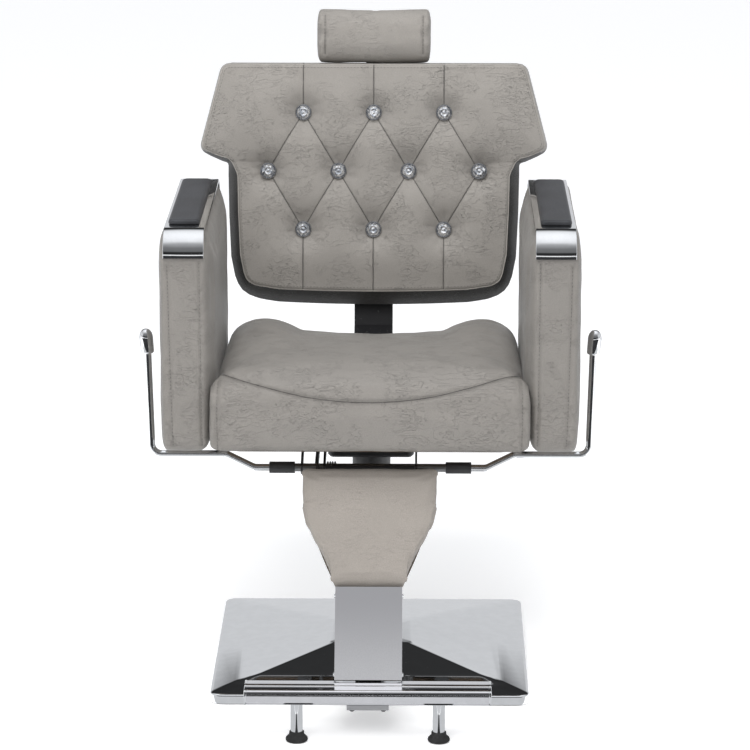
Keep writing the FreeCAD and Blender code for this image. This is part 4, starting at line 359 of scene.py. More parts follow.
def ramp(value, low, high):
    """0 below low, 1 above high, smooth between; for whole arrays."""
    share = np.clip((value - low) / (high - low), 0, 1)
    return share * share * (3 - 2 * share)


def neighbours(grid):
    """The sum of the four neighbours of each cell, for blurring; the border repeats its own cells."""
    wide = np.pad(grid, 1, mode="edge")
    return wide[2:, 1:-1] + wide[:-2, 1:-1] + wide[1:-1, 2:] + wide[1:-1, :-2]


def mm(*rows):
    """Rows of millimetres as tuples of metres."""
    return [tuple(value / 1000 for value in row) for row in rows]


def remeshed(node, ending, paint, voxel, rounds):
    """A copy of a CAD part's mesh with evenly spread points and rounded edges."""
    piece = linked(node + ending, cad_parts[node].data.copy())
    piece.data.materials.clear()
    piece.data.materials.append(paint)
    modified(piece, "REMESH", mode="VOXEL", voxel_size=voxel)
    modified(piece, "SMOOTH", factor=0.5, iterations=rounds)
    return piece


def placed(piece, body, node):
    """Smooth a remeshed piece once more and put it in the place of its CAD part."""
    modified(piece, "SUBSURF", levels=1, render_levels=1)
    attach(piece, body)
    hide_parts(node)


CLOTH_FRAMES = 20
REFILL = 1.1  # of the amount that a pad begins smaller by


def blown(piece, points, glued, swell):
    """How far each point moves when the cover is blown up as cloth that is held at the glued points."""
    pins = piece.vertex_groups.new(name="glued")
    pins.add([int(i) for i in np.flatnonzero(glued)], 1.0, "REPLACE")
    cloth = piece.modifiers.new("cover", "CLOTH")
    set_all(cloth.settings, {"use_pressure": True, "uniform_pressure_force": swell, "vertex_group_mass": "glued",
                             "tension_stiffness": 22, "compression_stiffness": 22, "bending_stiffness": 1.5,
                             "quality": 4})
    cloth.settings.effector_weights.gravity = 0
    cloth.collision_settings.use_collision = False
    cloth.point_cache.frame_end = CLOTH_FRAMES
    for number in range(1, CLOTH_FRAMES + 1):
        bpy.context.scene.frame_set(number)
    moved = numbers_of(evaluated(piece).data.vertices, "co") - points
    piece.modifiers.clear()
    piece.vertex_groups.clear()
    bpy.context.scene.frame_set(1)
    return moved


def stuffed(node, voxel, swell, paint, body, cap, start, held=None):
    """The padded piece for one CAD pad: remeshed, blown up as cloth over foam, and smoothed.
    held(points) is True where the cover is glued down, start is how much smaller it begins,
    and cap is the furthest that the cloth moves."""
    piece = remeshed(node, "_cover", paint, voxel, 4)
    points, normals = points_of(piece), normals_of(piece)
    glued = held(points) if held else np.zeros(len(points), bool)
    free = (~glued)[:, None]
    points = points - normals * start * free
    set_points(piece, points)
    moved = blown(piece, points, glued, swell)
    length = np.linalg.norm(moved, axis=1, keepdims=True)
    moved = moved * np.minimum(1, cap / np.maximum(length, 1e-9)) * free
    set_points(piece, points + moved + normals * start * REFILL * free)
    modified(piece, "SMOOTH", factor=0.5, iterations=3)
    placed(piece, body, node)
    return piece


WIDTH_CELLS = 28


def widened(piece, along, down, target, share):
    """Bring a pad's sides to a wanted half width, which target gives for the two places that
    along(points) and down(points) give; points nearer the middle than the share stay."""
    points = points_of(piece)
    half = np.abs(points[:, 0])
    places = along(points), down(points)
    spread = [(v - v.min()) / (np.ptp(v) + 1e-9) for v in places]
    rows, columns = (np.clip((v * WIDTH_CELLS).astype(int), 0, WIDTH_CELLS - 1) for v in spread)
    widest = np.zeros((WIDTH_CELLS, WIDTH_CELLS))
    np.maximum.at(widest, (rows, columns), half)
    for _ in range(2):
        widest = widest * 0.5 + 0.125 * neighbours(widest)
    spot = [v * (WIDTH_CELLS - 1) for v in spread]
    low = [np.clip(s.astype(int), 0, WIDTH_CELLS - 2) for s in spot]
    part = [s - i for s, i in zip(spot, low)]
    now = sum(widest[low[0] + i, low[1] + j] * (part[0] if i else 1 - part[0]) * (part[1] if j else 1 - part[1])
              for i in (0, 1) for j in (0, 1))
    now = np.maximum(now, half * 0.98)
    grow = np.clip(target(*places) - now, -0.02, 0.016) * ramp(half / now, share, 1.0)
    points[:, 0] += np.sign(points[:, 0]) * grow
    set_points(piece, points)


def ringed(rings, capped=True, looped=False):
    """Corners and faces of a skin through rings of equally many points, closed at its ends, open or in a loop."""
    count, last = len(rings[0]), len(rings) - 1
    corners = [p for ring in rings for p in ring]
    faces = []
    for r in range(last + looped):
        a, b = r * count, (r + 1) % len(rings) * count
        faces += [(a + k, a + (k + 1) % count, b + (k + 1) % count, b + k) for k in range(count)]
    if capped and not looped:
        faces += [tuple(range(count - 1, -1, -1)), tuple(last * count + k for k in range(count))]
    return corners, faces


def joined(forms):
    """Corners and faces of several forms as one."""
    corners, faces = [], []
    for some, around in forms:
        faces += [tuple(len(corners) + i for i in face) for face in around]
        corners += some
    return corners, faces


def turned(start, way, profile, count=32):
    """A turned form along an axis; the profile gives distance along it and radius."""
    way = Vector(way).normalized()
    side = way.cross(Vector((0, 1, 0.01))).normalized()
    other = way.cross(side)
    return ringed([[Vector(start) + way * along + (side * math.cos(2 * math.pi * k / count)
                                                   + other * math.sin(2 * math.pi * k / count)) * radius
                    for k in range(count)] for along, radius in profile])


def cord_along(name, line, radius, paint, body):
    """A fine round bead along a line of places, in a loop where it ends at its start."""
    looped = (Vector(line[0]) - Vector(line[-1])).length < 1e-6
    spots = [Vector(p) for p in (line[:-1] if looped else line)]
    first, last = (spots[-1], spots[0]) if looped else (spots[0], spots[-1])
    rings = []
    for before, spot, after in zip([first] + spots[:-1], spots, spots[1:] + [last]):
        along = (after - before).normalized()
        side = along.cross(Vector((0.3, 1, 0.2))).normalized()
        up = side.cross(along)
        rings.append([spot + (side * math.cos(math.pi / 3 * k) + up * math.sin(math.pi / 3 * k)) * radius
                      for k in range(6)])
    new_piece(name, ringed(rings, looped=looped), paint, body)


def surface_of(piece):
    """A search tree of the piece's surface, for laying seams on it."""
    return BVHTree.FromPolygons([tuple(v.co) for v in piece.data.vertices],
                                [tuple(p.vertices) for p in piece.data.polygons])


LINE_STEP = 0.0015


def laid(tree, line, way, reach=0.2):
    """Points of a line, filled in every step, and dropped onto a surface along one direction."""
    way = Vector(way).normalized()
    found = []
    for a, b in zip(line, line[1:]):
        a, b = Vector(a), Vector(b)
        count = max(1, int((b - a).length / LINE_STEP))
        for i in range(count):
            hit, normal, _, _ = tree.ray_cast(a.lerp(b, i / count) - way * reach, way, reach * 2)
            if hit is not None:
                found.append((hit, normal))
    return found


def curve_through(points, count):
    """A smooth line through a few points."""
    points = [Vector(p) for p in points]
    ends = [points[0] * 2 - points[1]] + points + [points[-1] * 2 - points[-2]]
    line = []
    for p0, p1, p2, p3 in zip(ends, ends[1:], ends[2:], ends[3:]):
        for t in (n / count for n in range(count)):
            line.append(0.5 * (2 * p1 + (p2 - p0) * t + (2 * p0 - 5 * p1 + 4 * p2 - p3) * t ** 2
                               + (3 * p1 - p0 - 3 * p2 + p3) * t ** 3))
    return line + [points[-1]]


def pressed(piece, found, depth, width):
    """Sink a sewn line into a padded piece: points near the line go in along their normals."""
    tree = KDTree(len(found))
    for i, (hit, _) in enumerate(found):
        tree.insert(hit, i)
    tree.balance()
    spots = np.array([tuple(hit) for hit, _ in found])
    points, normals = points_of(piece), normals_of(piece)
    near = np.all((points > spots.min(0) - width * 3) & (points < spots.max(0) + width * 3), axis=1)
    away = np.full(len(points), 1.0)
    for i in np.flatnonzero(near):
        away[i] = tree.find(points[i])[2]
    sink = depth * np.exp(-(away / width) ** 2)
    set_points(piece, points - normals * sink[:, None])


STITCH_SHAPE = ((0.0, -0.5), (0.22, 0.7), (0.5, 1.0), (0.78, 0.7), (1.0, -0.5))
STITCH_LIFT = 0.0002
LONGEST_HOP = 0.012


def stitches(name, runs, body, length=0.0034, gap=0.0016, thick=0.00042):
    """Sewn stitches along laid lines: each one a short thread, low at its ends."""
    forms = []
    for found in runs:
        start = None
        for (a, normal), (b, _) in zip(found, found[1:]):
            hop = (b - a).length
            if hop > LONGEST_HOP:
                start = None
                continue
            if start is None:
                start, out, travelled = a, normal, 0.0
            travelled += hop
            if travelled < length + gap:
                continue
            along = b - start
            if along.length > 1e-5:
                along.normalize()
                side, up = along.cross(out).normalized() * thick, out * thick
                spots = [start + along * (length * share) + out * (STITCH_LIFT + thick * high)
                         for share, high in STITCH_SHAPE]
                forms.append(ringed([[s - side, s + up * 0.7, s + side, s - up * 0.7] for s in spots]))
            start = None
    new_piece(name, joined(forms), seam_thread, body)


def rippled(piece, height, size, seed):
    """Soft hand-sized unevenness over a pad."""
    points, normals = points_of(piece), normals_of(piece)
    shift = np.array([noise.noise(Vector(p) / size + Vector((seed, seed * 0.7, -seed))) for p in points])
    set_points(piece, points + normals * (shift * height)[:, None])


# ------------ finishes on the parts
TAUPE = (0.262, 0.246, 0.226)
hide = leather("taupe_hide", tinted(TAUPE, 0.87))
head_hide = leather("head_hide", tinted(TAUPE, 1.07), crease=0.7)
calf_hide = leather("calf_hide", (0.292, 0.266, 0.239), crease=0.3)
# A paler copy of the taupe leather for the bead along the back's seam: painted highlight of the seam's edge.
welt_painted_highlight = leather("welt_painted_highlight", tinted(TAUPE, 1.35), crease=0.3)
seam_thread = thread("seam_thread", (0.085, 0.078, 0.07))
# A near black cord for the seat's smile seam: painted shade in the seam's groove.
seam_shade_cord = thread("seam_shade_cord", (0.035, 0.032, 0.03))
plate_chrome = chrome("plate_chrome", ripple=0.00008)
bar_chrome = chrome("bar_chrome", roughness=0.03, ripple=0.00006)
dark_chrome = chrome("dark_chrome", (0.52, 0.53, 0.55), 0.08, 0.00005)
tread_alloy = chrome("tread_alloy", (0.82, 0.82, 0.84), 0.07, 0.00004)
clamp_steel = brushed("clamp_steel", (0.52, 0.52, 0.53), "x", 0.002)
bolt_black = black_coat("bolt_black", (0.02, 0.02, 0.02), 0.35)
pad_black = moulded_black("pad_black", (0.03, 0.031, 0.034))
foot_rubber = rubber("foot_rubber", (0.018, 0.018, 0.018))
gem = crystal("cut_crystal")

# the CAD parts that keep their own shape
for paint, names in (
        (plate_chrome, "pump_cylinder pump_collar"),
        (bar_chrome, "lever_handle_left lever_handle_right stem_cover_screws foot_tubes"),
        (foot_rubber, "base_rubber pedal_pad"),
        (brushed("zinc_steel", (0.36, 0.36, 0.36), "x", 0.002),
         "base_plate pump_flange_bolts ram_piston thrust_washer pedal_pin leg_hinge_pin back_hinge_pin lever_shaft "
         "lever_spring gas_spring_rod"),
        (chrome("ram_plate", (0.74, 0.75, 0.76), 0.06), "ram_column"),
        (black_coat("frame_black", (0.013, 0.013, 0.014), 0.38),
         "pedal_bracket pedal_arm swivel_hub swivel_plate seat_frame arm_brackets leg_hinge_brackets leg_stem "
         "leg_crank back_hinge_brackets back_cranks gas_spring_cylinder lever_sleeves push_link headrest_socket"),
        (black_coat("bar_black", (0.01, 0.01, 0.011), 0.24, 0.002, 0.00006), "back_bracket headrest_bar"),
        (plywood("bare_ply", (0.1, 0.075, 0.055)), "seat_board calf_board"),
        (leather("shell_black", (0.022, 0.022, 0.023), crease=0.4), "back_board"),
        # The stem cover is painted darker towards its top and paler at its foot: painted shading.
        (brushed("cover_steel", (0.98, 0.975, 0.985), "z", height_shading=(0.07, 0.225, (0.6, 0.595, 0.61))), "stem_cover")):
    for name in names.split():
        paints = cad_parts[name].data.materials
        paints.clear()
        paints.append(paint)


# ------------ plated and turned parts
UPWARD = (0, 0, 1)


def square_ring(half, corner, height):
    """A rounded square, with points close to each corner's ends so that its flats stay flat."""
    flat = half - corner
    near = flat - 0.004 if flat > 0.012 else flat * 0.6
    spots = [(half, -near), (half, 0), (half, near)]
    spots += [(flat + corner * math.cos(math.pi / 16 * k), flat + corner * math.sin(math.pi / 16 * k))
              for k in range(9)]
    ring = []
    for turn in range(4):
        cos, sin = math.cos(math.pi / 2 * turn), math.sin(math.pi / 2 * turn)
        ring += [Vector((x * cos - y * sin, x * sin + y * cos, height)) for x, y in spots]
    return ring


def pressed_cover():
    """The pressed base cover: upright lip, flat border, a soft step and four long slopes. The step shows
    on the front slope only; the others run straight from the border to the top."""
    border, top = mm((272, 18), (67, 45.4))
    rings = []
    for half, corner, height in mm(
            (275, 22, 1.5), (275, 22, 10), (275, 22, 14.8), (274.6, 21.6, 16.2), (273.6, 20.6, 17.4), (272, 19, 18),
            (269, 18, 18.35), (238, 16.5, 21.1), (234, 16.5, 21.5), (230, 16.2, 22.1), (225, 16, 23.3),
            (211, 15.5, 27.6), (206, 15, 29), (201, 15, 30), (196, 14.8, 30.65), (190, 14.5, 31.4), (76, 12, 44.6),
            (71, 12, 45.15), (67, 12, 45.4), (30, 10, 45.5)):
        ring = square_ring(half, corner, height)
        if top[0] < half < border[0]:
            straight = border[1] + (border[0] - half) * (top[1] - border[1]) / (border[0] - top[0])
            for spot in ring:
                ahead = min(max((-spot.y / half - 0.92) / 0.07, 0.0), 1.0)
                spot.z += (straight - height) * (1 - ahead)
        rings.append(ring)
    new_piece("base_cover_pressing", ringed(rings, capped=False), plate_chrome, "base", "base_cover", 60)


def foot_bar():
    """The foot bar: a flat top that rolls over into an upright front, a lip under it, and a cap at each end."""
    profile = mm((-412, 71.5), (-411.5, 90), (-412, 91.5), (-413.5, 92), (-430, 92), (-439.2, 92), (-439.7, 91.6),
                 (-440.1, 91.2), (-440.5, 91.6), (-441.2, 92), (-445, 92), (-458, 91.7), (-463.2, 91.2), (-464.6, 90),
                 (-465.3, 88.5), (-465.7, 86.8), (-466.2, 84), (-466.6, 80.5), (-466.7, 79), (-466.8, 75),
                 (-466.8, 71.5), (-466.6, 68.5), (-466, 67.6), (-465, 67.4), (-464.2, 68), (-463.8, 70), (-463, 71.5),
                 (-440, 71.5))
    bar = ringed([[Vector((x, y, z)) for y, z in profile] for x in (-0.2015, -0.195, 0, 0.195, 0.2015)])
    new_piece("foot_bar", bar, tread_alloy, "leg_rest", "foot_tread", 40)
    my, mz = -0.44, 0.08
    caps = [ringed([[Vector((side * x, my + (y - my) * grow, mz + (z - mz) * grow)) for y, z in profile]
                    for x, grow in ((0.2016, 1.0), (0.2032, 1.035), (0.2052, 1.035), (0.2058, 1.0))])
            for side in (-1, 1)]
    new_piece("foot_bar_caps", joined(caps), bar_chrome, "leg_rest", "tread_end_caps", 40)


def clamp():
    """The pressed clamp plate under the bar, on a packing block, with its bolt heads."""
    def block(x, y0, y1, z0, z1, e=0.0006):
        ring = [(e - x, y0), (x - e, y0), (x, y0 + e), (x, y1 - e),
                (x - e, y1), (e - x, y1), (-x, y1 - e), (-x, y0 + e)]
        return ringed([[Vector((x, y, z)) for x, y in ring] for z in (z0, z0 + e, z1 - e, z1)])
    plate = block(0.035, -0.462, -0.3678, 0.057, 0.0655)
    packing = block(0.031, -0.456, -0.37, 0.0655, 0.0712)
    bolt = mm((0, 3), (0.6, 4.2), (4.2, 4.2), (4.3, 2.4), (30, 2.4))
    bolts = joined([turned((side * 0.0262, -0.454, 0.0528), UPWARD, bolt, 6) for side in (-1, 1)])
    for name, form, paint, replaced in (("clamp_plate", plate, clamp_steel, "tread_clamp"),
                                        ("clamp_packing", packing, bolt_black, "tread_clamp"),
                                        ("clamp_bolts", bolts, bolt_black, "tread_clamp_bolts")):
        new_piece(name, form, paint, "leg_rest", replaced, 30)


def turned_parts():
    """The pump's collar above the cover, the rubber feet and the bullet caps of the levers."""
    collar = turned((0, 0, 0.0455), UPWARD, mm((0, 47.8), (6, 48), (40, 47.8), (46, 47)), 48)
    new_piece("pump_foot_collar", collar, dark_chrome, "base", "pump_skirt", 40)
    foot = mm((0, 13.5), (0.4, 16.5), (1.8, 18.2), (4.2, 18.8), (6.6, 18), (9.2, 15.5), (11.2, 13.3), (12.2, 12.7),
              (17, 12.4), (17.4, 12.1), (17.5, 10.8))
    feet = joined([turned((side * 0.1185, -0.454, 0.0005), UPWARD, foot) for side in (-1, 1)])
    new_piece("foot_pads", feet, foot_rubber, "leg_rest", "foot_rubbers", 50)
    cap = mm((0, 8.5), (0.4, 9.8), (1.6, 10.8), (3.4, 11.2), (27, 11.8))
    cap += [(0.027 + 0.0158 * math.sin(math.radians(a)), 0.0118 * math.cos(math.radians(a)) ** 0.85)
            for a in range(10, 86, 8)] + [(0.0429, 0.0008)]
    caps = joined([turned((side * 0.381, -0.15, 0.5914), (side * 0.0872, 0, 0.996), cap) for side in (-1, 1)])
    new_piece("lever_caps", caps, bar_chrome, "lever", "lever_knobs", 50)


def strap_outline(inset):
    """The side view of an arm's strap: along and up, so far in from its outer face."""
    front, rear, top, bend = -0.2324 + inset, 0.2754 - inset, 0.82 - inset, 0.042 - inset
    turns = [(bend * math.cos(math.radians(a)), bend * math.sin(math.radians(a))) for a in range(3, 90, 4)]
    return ([(front, 0.7745), (front, 0.777), (front, top - bend)]
            + [(front + bend - c, top - bend + s) for c, s in turns]
            + [(front + bend, top), (front + bend + 0.004, top), (0, top)]
            + [(rear - bend - 0.004, top), (rear - bend, top)]
            + [(rear - bend + s, top - bend + c) for c, s in turns]
            + [(rear, top - bend), (rear, 0.7425), (rear, 0.74)])


def arm_straps():
    """Flat chrome straps over the arms, bent down over the front and the rear."""
    half, thick, edge = 0.0345, 0.0066, 0.0012
    for side, name in ((-1, "left"), (1, "right")):
        rings = []
        for (oy, oz), (sy, sz), (iy, iz) in zip(*map(strap_outline, (0.0, edge, thick))):
            ry, rz = oy * 0.7 + sy * 0.3, oz * 0.7 + sz * 0.3
            rings.append([Vector((side * 0.313 + x, y, z)) for x, y, z in (
                (-half + edge, oy, oz), (half - edge, oy, oz), (half - edge * 0.3, ry, rz), (half, sy, sz),
                (half, iy, iz), (-half, iy, iz), (-half, sy, sz), (-half + edge * 0.3, ry, rz))])
        new_piece("arm_strap_" + name, ringed(rings), bar_chrome, "seat", "armrest_strip_" + name, 50)


pressed_cover()
clamp()
turned_parts()
foot_bar()
arm_straps()


# ------------ the back, sewn and tufted
BACK_TILT = math.radians(12.8)
BACK_FOOT = Vector((0, 0.2, 0.602))
BACK_UP = Vector((0, math.sin(BACK_TILT), math.cos(BACK_TILT)))
BACK_IN = Vector((0, math.cos(BACK_TILT), -math.sin(BACK_TILT)))
BACK_LENGTH = 0.434
BACK_DEPTH = 0.0665
TUFT_DEPTH = 0.0205
COLUMN, ROW, TOP_ROW = 0.127, 0.1055, 0.342
LOW_ROW = TOP_ROW - 2 * ROW
BUTTONS = [(k * COLUMN, row) for row, places in ((TOP_ROW, (-1, 0, 1)), (TOP_ROW - ROW, (-1.5, -0.5, 0.5, 1.5)),
                                                 (LOW_ROW, (-1, 0, 1))) for k in places]
PLEATS = [(a, b) for i, a in enumerate(BUTTONS) for b in BUTTONS[i + 1:]
          if abs(abs(a[0] - b[0]) - COLUMN / 2) < 0.002 and abs(abs(a[1] - b[1]) - ROW) < 0.002]
TUCKS = [((k * COLUMN, row), (k * COLUMN, end)) for row, end in ((TOP_ROW, BACK_LENGTH + 0.01), (LOW_ROW, -0.01))
         for k in (-1, 0, 1)]
# the outline as photographed: half width and height up the slope
EDGE = mm((170, 0), (184, 1.3), (209.1, 6), (226.2, 12.5), (238.5, 21.2), (246.5, 33), (252, 47.4), (259, 82.1),
          (262.8, 160), (264.3, 230), (264.3, 248), (266, 252.5), (273.6, 254.5), (286, 259.8), (298.1, 265.3),
          (308.5, 271.1), (313.2, 276.5), (315, 284), (314.2, 290), (281.2, 417), (278.8, 423.5), (274.8, 428.5),
          (269, 432), (264, 433.5), (258, 434))
HALF_OUTLINE = [(0.0, 0.0)] + EDGE + [(0.0, BACK_LENGTH)]
WING_FOOT = 0.2655
CROWN_BLURS = 70
RAY_START = -0.05  # in front of the back's face, for laying seams on it


def back_spot(x, depth, up):
    """A place on the back: across, in from the face, and up the slope."""
    return BACK_FOOT + BACK_IN * depth + BACK_UP * up + Vector((x, 0, 0))


def from_segment(x, z, a, b):
    """Distance from a segment in the plane of the back, and how far along it, for whole arrays."""
    ax, az, bx, bz = *a, *b
    run = np.array([bx - ax, bz - az])
    share = np.clip(((x - ax) * run[0] + (z - az) * run[1]) / (run @ run), 0, 1)
    return np.hypot(x - ax - share * run[0], z - az - share * run[1]), share


def tuft_lines(paint):
    """A mask of the folds between the buttons and of the tucks above and below them, along which the leather is painted
    dark as painted shade.
    """
    def along(way):
        return paint.node("VectorMath", {0: paint.place(), 1: tuple(way)}, "Value", operation="DOT_PRODUCT")
    across = along((2 / COLUMN, 0, 0))
    down = (TOP_ROW - (along(BACK_UP) - BACK_UP.dot(BACK_FOOT))) * (1 / ROW)
    reach = math.hypot(1 / COLUMN, 0.5 / ROW)
    wide = paint.grain(0.05, 2) * 0.0009 + 0.0001

    def line(distance):
        return 1 - (distance - wide).between(0.0, 0.0007)
    inside = (across.size() - 3.0).most((down - 1).size() - 1.0)
    folds = line(((across - down) * 0.5).wrapped().least(((across + down) * 0.5).wrapped()) * (1 / reach))
    beyond = ((down - 1).size() - 1).between(-0.01, 0.01) * (1 - (across.size() - 2.5).between(0.0, 0.1))
    return folds * (1 - inside.between(-0.01, 0.01)) + line((across * 0.5).wrapped() * COLUMN) * beyond


def tuft_sink(x, z):
    """How deep the tufting draws the cover in, over the plane of the back's face."""
    pull = np.zeros_like(x)
    for bx, bz in BUTTONS:
        away = np.hypot(x - bx, z - bz)
        turn = np.arctan2(z - bz, x - bx)
        ruck = 1 + 0.05 * np.cos(turn * 9 + bx * 40) * ramp(away, 0.014, 0.024) * (1 - ramp(away, 0.03, 0.055))
        above = 1 + 0.18 * np.clip(np.sin(turn), 0, 1) * ramp(away, 0.012, 0.03)
        dimple = TUFT_DEPTH * np.exp(-(np.maximum(away - 0.0145, 0) / 0.0175) ** 1.15)
        pull = np.maximum(pull, dimple * ruck * above)
    for line in PLEATS + TUCKS:
        away, share = from_segment(x, z, *line)
        crisp = np.exp(-(away / 0.0046) ** 0.8)
        if line in PLEATS:
            fold = (0.0052 - 0.002 * np.sin(np.pi * share)) * crisp + 0.003 * np.exp(-(away / 0.014) ** 1.3)
        else:
            fold = 0.0046 * (1 - 0.35 * share) * crisp
        pull = pull + fold * np.clip(1 - pull / TUFT_DEPTH, 0, 1)
    return pull


def from_edge(x, z):
    """Distance in from the outline of the back, for whole arrays."""
    near = np.full(x.shape, 9.0)
    for a, b in zip(HALF_OUTLINE, HALF_OUTLINE[1:]):
        near = np.minimum(near, from_segment(np.abs(x), z, a, b)[0])
    return near


def sagged(x, z):
    """The height up the slope where the bottom edge sags a little in the middle."""
    return z - 0.0045 * np.clip(1 - (x / 0.175) ** 2, 0, 1) * (1 - ramp(z, 0.0, 0.1))


def seam_inset(x, z):
    """How far in from the outline the panel's seam runs: wide below, narrow on the wings and along the top."""
    low = 0.019 + 0.0045 * (1 - ramp(z, 0.02, 0.05)) * (1 - ramp(np.abs(x), 0.2, 0.24))
    return low - (low - 0.0058) * ramp(z, 0.225, 0.262)


def tufted_back():
    """The back cushion: a panel drawn in by ten buttons, sewn to a gusset that slopes out to the board; below the wings
    the gusset is painted dark as painted shade.
    """
    rows, columns = 216, 292
    count = columns + 1
    heights = np.linspace(0, BACK_LENGTH, rows + 1)
    heights[1:6] = np.linspace(0.0008, heights[6] * 0.86, 5)
    z = np.repeat(heights[:, None], count, axis=1)
    halves, ups = zip(*EDGE)
    x = np.interp(z, ups, halves) * np.linspace(-1, 1, count)[None, :]
    inner = from_edge(x, z)
    seam = seam_inset(x, z)
    crown = 0.0145 * (1 - ramp(inner - seam, 0.0, 0.08) ** 0.75)
    for _ in range(CROWN_BLURS):
        crown = crown * 0.2 + neighbours(crown) * 0.2
    face = -0.004 + crown + tuft_sink(x, z) * ramp(inner, 0.012, 0.034)
    face = face + 0.003 * np.exp(-((inner - seam) / 0.0022) ** 2)
    fall = np.clip(1 - inner / seam, 0, 1)
    gusset = 0.0135 + (BACK_DEPTH - 0.031) * fall ** 0.92 - 0.004 * np.sin(np.pi * fall)
    depth = np.where(inner < seam, np.maximum(gusset, face), face)
    z = sagged(x, z)
    corners = [back_spot(a, b, c) for a, b, c in zip(x.ravel(), depth.ravel(), z.ravel())]
    faces = [(r * count + c, r * count + c + 1, (r + 1) * count + c + 1, (r + 1) * count + c)
             for r in range(rows) for c in range(columns)]
    rim = ([(0, c) for c in range(columns)] + [(r, columns) for r in range(rows)]
           + [(rows, c) for c in range(columns, 0, -1)] + [(r, 0) for r in range(rows, 0, -1)])
    front = [r * count + c for r, c in rim]
    middle = np.array((0, 0.21))
    for rise, pull in ((0.009, 0.0), (0.003, 0.0015), (0.0, 0.006)):
        ring = list(range(len(corners), len(corners) + len(rim)))
        for r, c in rim:
            spot = np.array((x[r, c], z[r, c]))
            spot = spot + (middle - spot) / np.linalg.norm(middle - spot) * pull
            corners.append(back_spot(spot[0], BACK_DEPTH - rise, spot[1]))
        faces += zip(front, ring, ring[1:] + ring[:1], front[1:] + front[:1])
        front = ring
    faces.append(tuple(front[::-1]))
    piece = new_piece("back_cushion_cover", (corners, faces), back_hide, "back")
    # Gusset faces below the wings take the darkened leather: painted shade.
    piece.data.materials.append(gusset_painted_shade)
    panel = (inner > seam * 0.93).ravel()
    for face in piece.data.polygons:
        hidden = face.index >= rows * columns or not all(panel[i] for i in face.vertices)
        face.material_index = int(hidden and face.center.z < back_spot(0, 0, WING_FOOT).z)
    clean = bmesh.new()
    clean.from_mesh(piece.data)
    bmesh.ops.remove_doubles(clean, verts=clean.verts, dist=1e-6)
    bmesh.ops.recalc_face_normals(clean, faces=clean.faces)
    clean.to_mesh(piece.data)
    clean.free()
    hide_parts("back_cushion")
    return piece


def seam_of_back(inward):
    """The line where the panel meets the gusset, or one so far inside it, all round the front of the back."""
    spots = []
    for a, b in zip(HALF_OUTLINE, HALF_OUTLINE[1:]):
        a, run = np.array(a), np.array(b) - np.array(a)
        long = np.linalg.norm(run)
        way = run / long
        count = max(1, int(long / LINE_STEP))
        for k in range(count):
            spot = a + run * k / count
            spots.append(spot + np.array((-way[1], way[0])) * (seam_inset(*spot) + inward))
    x, z = np.array(spots).T
    kept = (from_edge(x, z) > seam_inset(x, z) + inward - 0.0006) & (x > 0)
    half = np.array(spots)[kept]
    for _ in range(3):
        half[1:-1] = (half[:-2] + 2 * half[1:-1] + half[2:]) / 4
    half = [(x, sagged(x, z)) for x, z in half]
    return [back_spot(x, RAY_START, z) for x, z in half + [(-x, z) for x, z in reversed(half)] + [half[0]]]


# The back's leather, painted dark along the tufting folds as painted shade.
back_hide = leather("back_hide", tinted(TAUPE, 1.07), shaded_folds=tuft_lines)
# The same taupe leather painted far darker for the gusset below the wings: painted shade where it turns away from the
# light.
gusset_painted_shade = leather("gusset_painted_shade", tinted(TAUPE, 0.085), crease=0.5)
back_skin = surface_of(tufted_back())
seam_line = laid(back_skin, seam_of_back(0.0), BACK_IN, 0.1)
seam_highlight_line = [tuple(hit - BACK_IN * 0.0004) for hit, _ in seam_line]
# A thin bead in paler leather along the seam stands in for the edge's highlight: painted highlight.
cord_along("back_seam_highlight", seam_highlight_line + seam_highlight_line[:1], 0.0011, welt_painted_highlight, "back")
stitches("back_stitches", [laid(back_skin, seam_of_back(0.0055), BACK_IN, 0.1)], "back", 0.003, 0.002, 0.0003)


# ------------ buttons
def ring_round(button, radius, depth, count, start=0.0, turn=0.0):
    """A ring of places round a button's middle, at a depth in the sloping back."""
    angles = [2 * math.pi * (k + start) / count + turn for k in range(count)]
    return [back_spot(button[0] + radius * math.cos(a), depth, button[1] + radius * math.sin(a)) for a in angles]


def bezel(button):
    """The turned chrome ring that holds a stone."""
    profile = mm((14.2, 19.2), (15, 17.6), (15.2, 15.2), (14.8, 13), (13.9, 11.8), (13, 11.7), (12.4, 12.6), (12.1, 15))
    return ringed([ring_round(button, radius, depth, 36) for radius, depth in profile], capped=False)


def stone(button, turn):
    """A cut stone: table, star, bezel and girdle facets, and the glints of its culet seen through the table."""
    corners = []
    for count, radius, depth, start in ((16, 0.0125, 0.0128, 0), (8, 0.0099, 0.0096, 0.5), (8, 0.0068, 0.008, 0),
                                        (8, 0.0036, 0.0096, 0.5)):
        corners += ring_round(button, radius, depth, count, start, turn)
    faces = []
    for k in range(8):
        edge, after, last = 2 * k, (2 * k + 1) % 16, (2 * k + 2) % 16
        star, before = 16 + k, 16 + (k - 1) % 8
        table, beside = 24 + k, 24 + (k + 1) % 8
        inner, inner_before = 32 + k, 32 + (k - 1) % 8
        faces += [(table, before, edge), (table, edge, star), (edge, after, star), (after, last, star),
                  (table, star, beside), (table, beside, inner), (table, inner, inner_before),
                  (inner, 40, inner_before)]
    return corners + [back_spot(button[0], 0.0078, button[1])], faces


new_piece("button_bezels", joined([bezel(button) for button in BUTTONS]), dark_chrome, "back", "button_rims")
new_piece("button_stones", joined([stone(button, 0.3 + 1.7 * k) for k, button in enumerate(BUTTONS)]),
          gem, "back", "button_crystals", smooth=False)


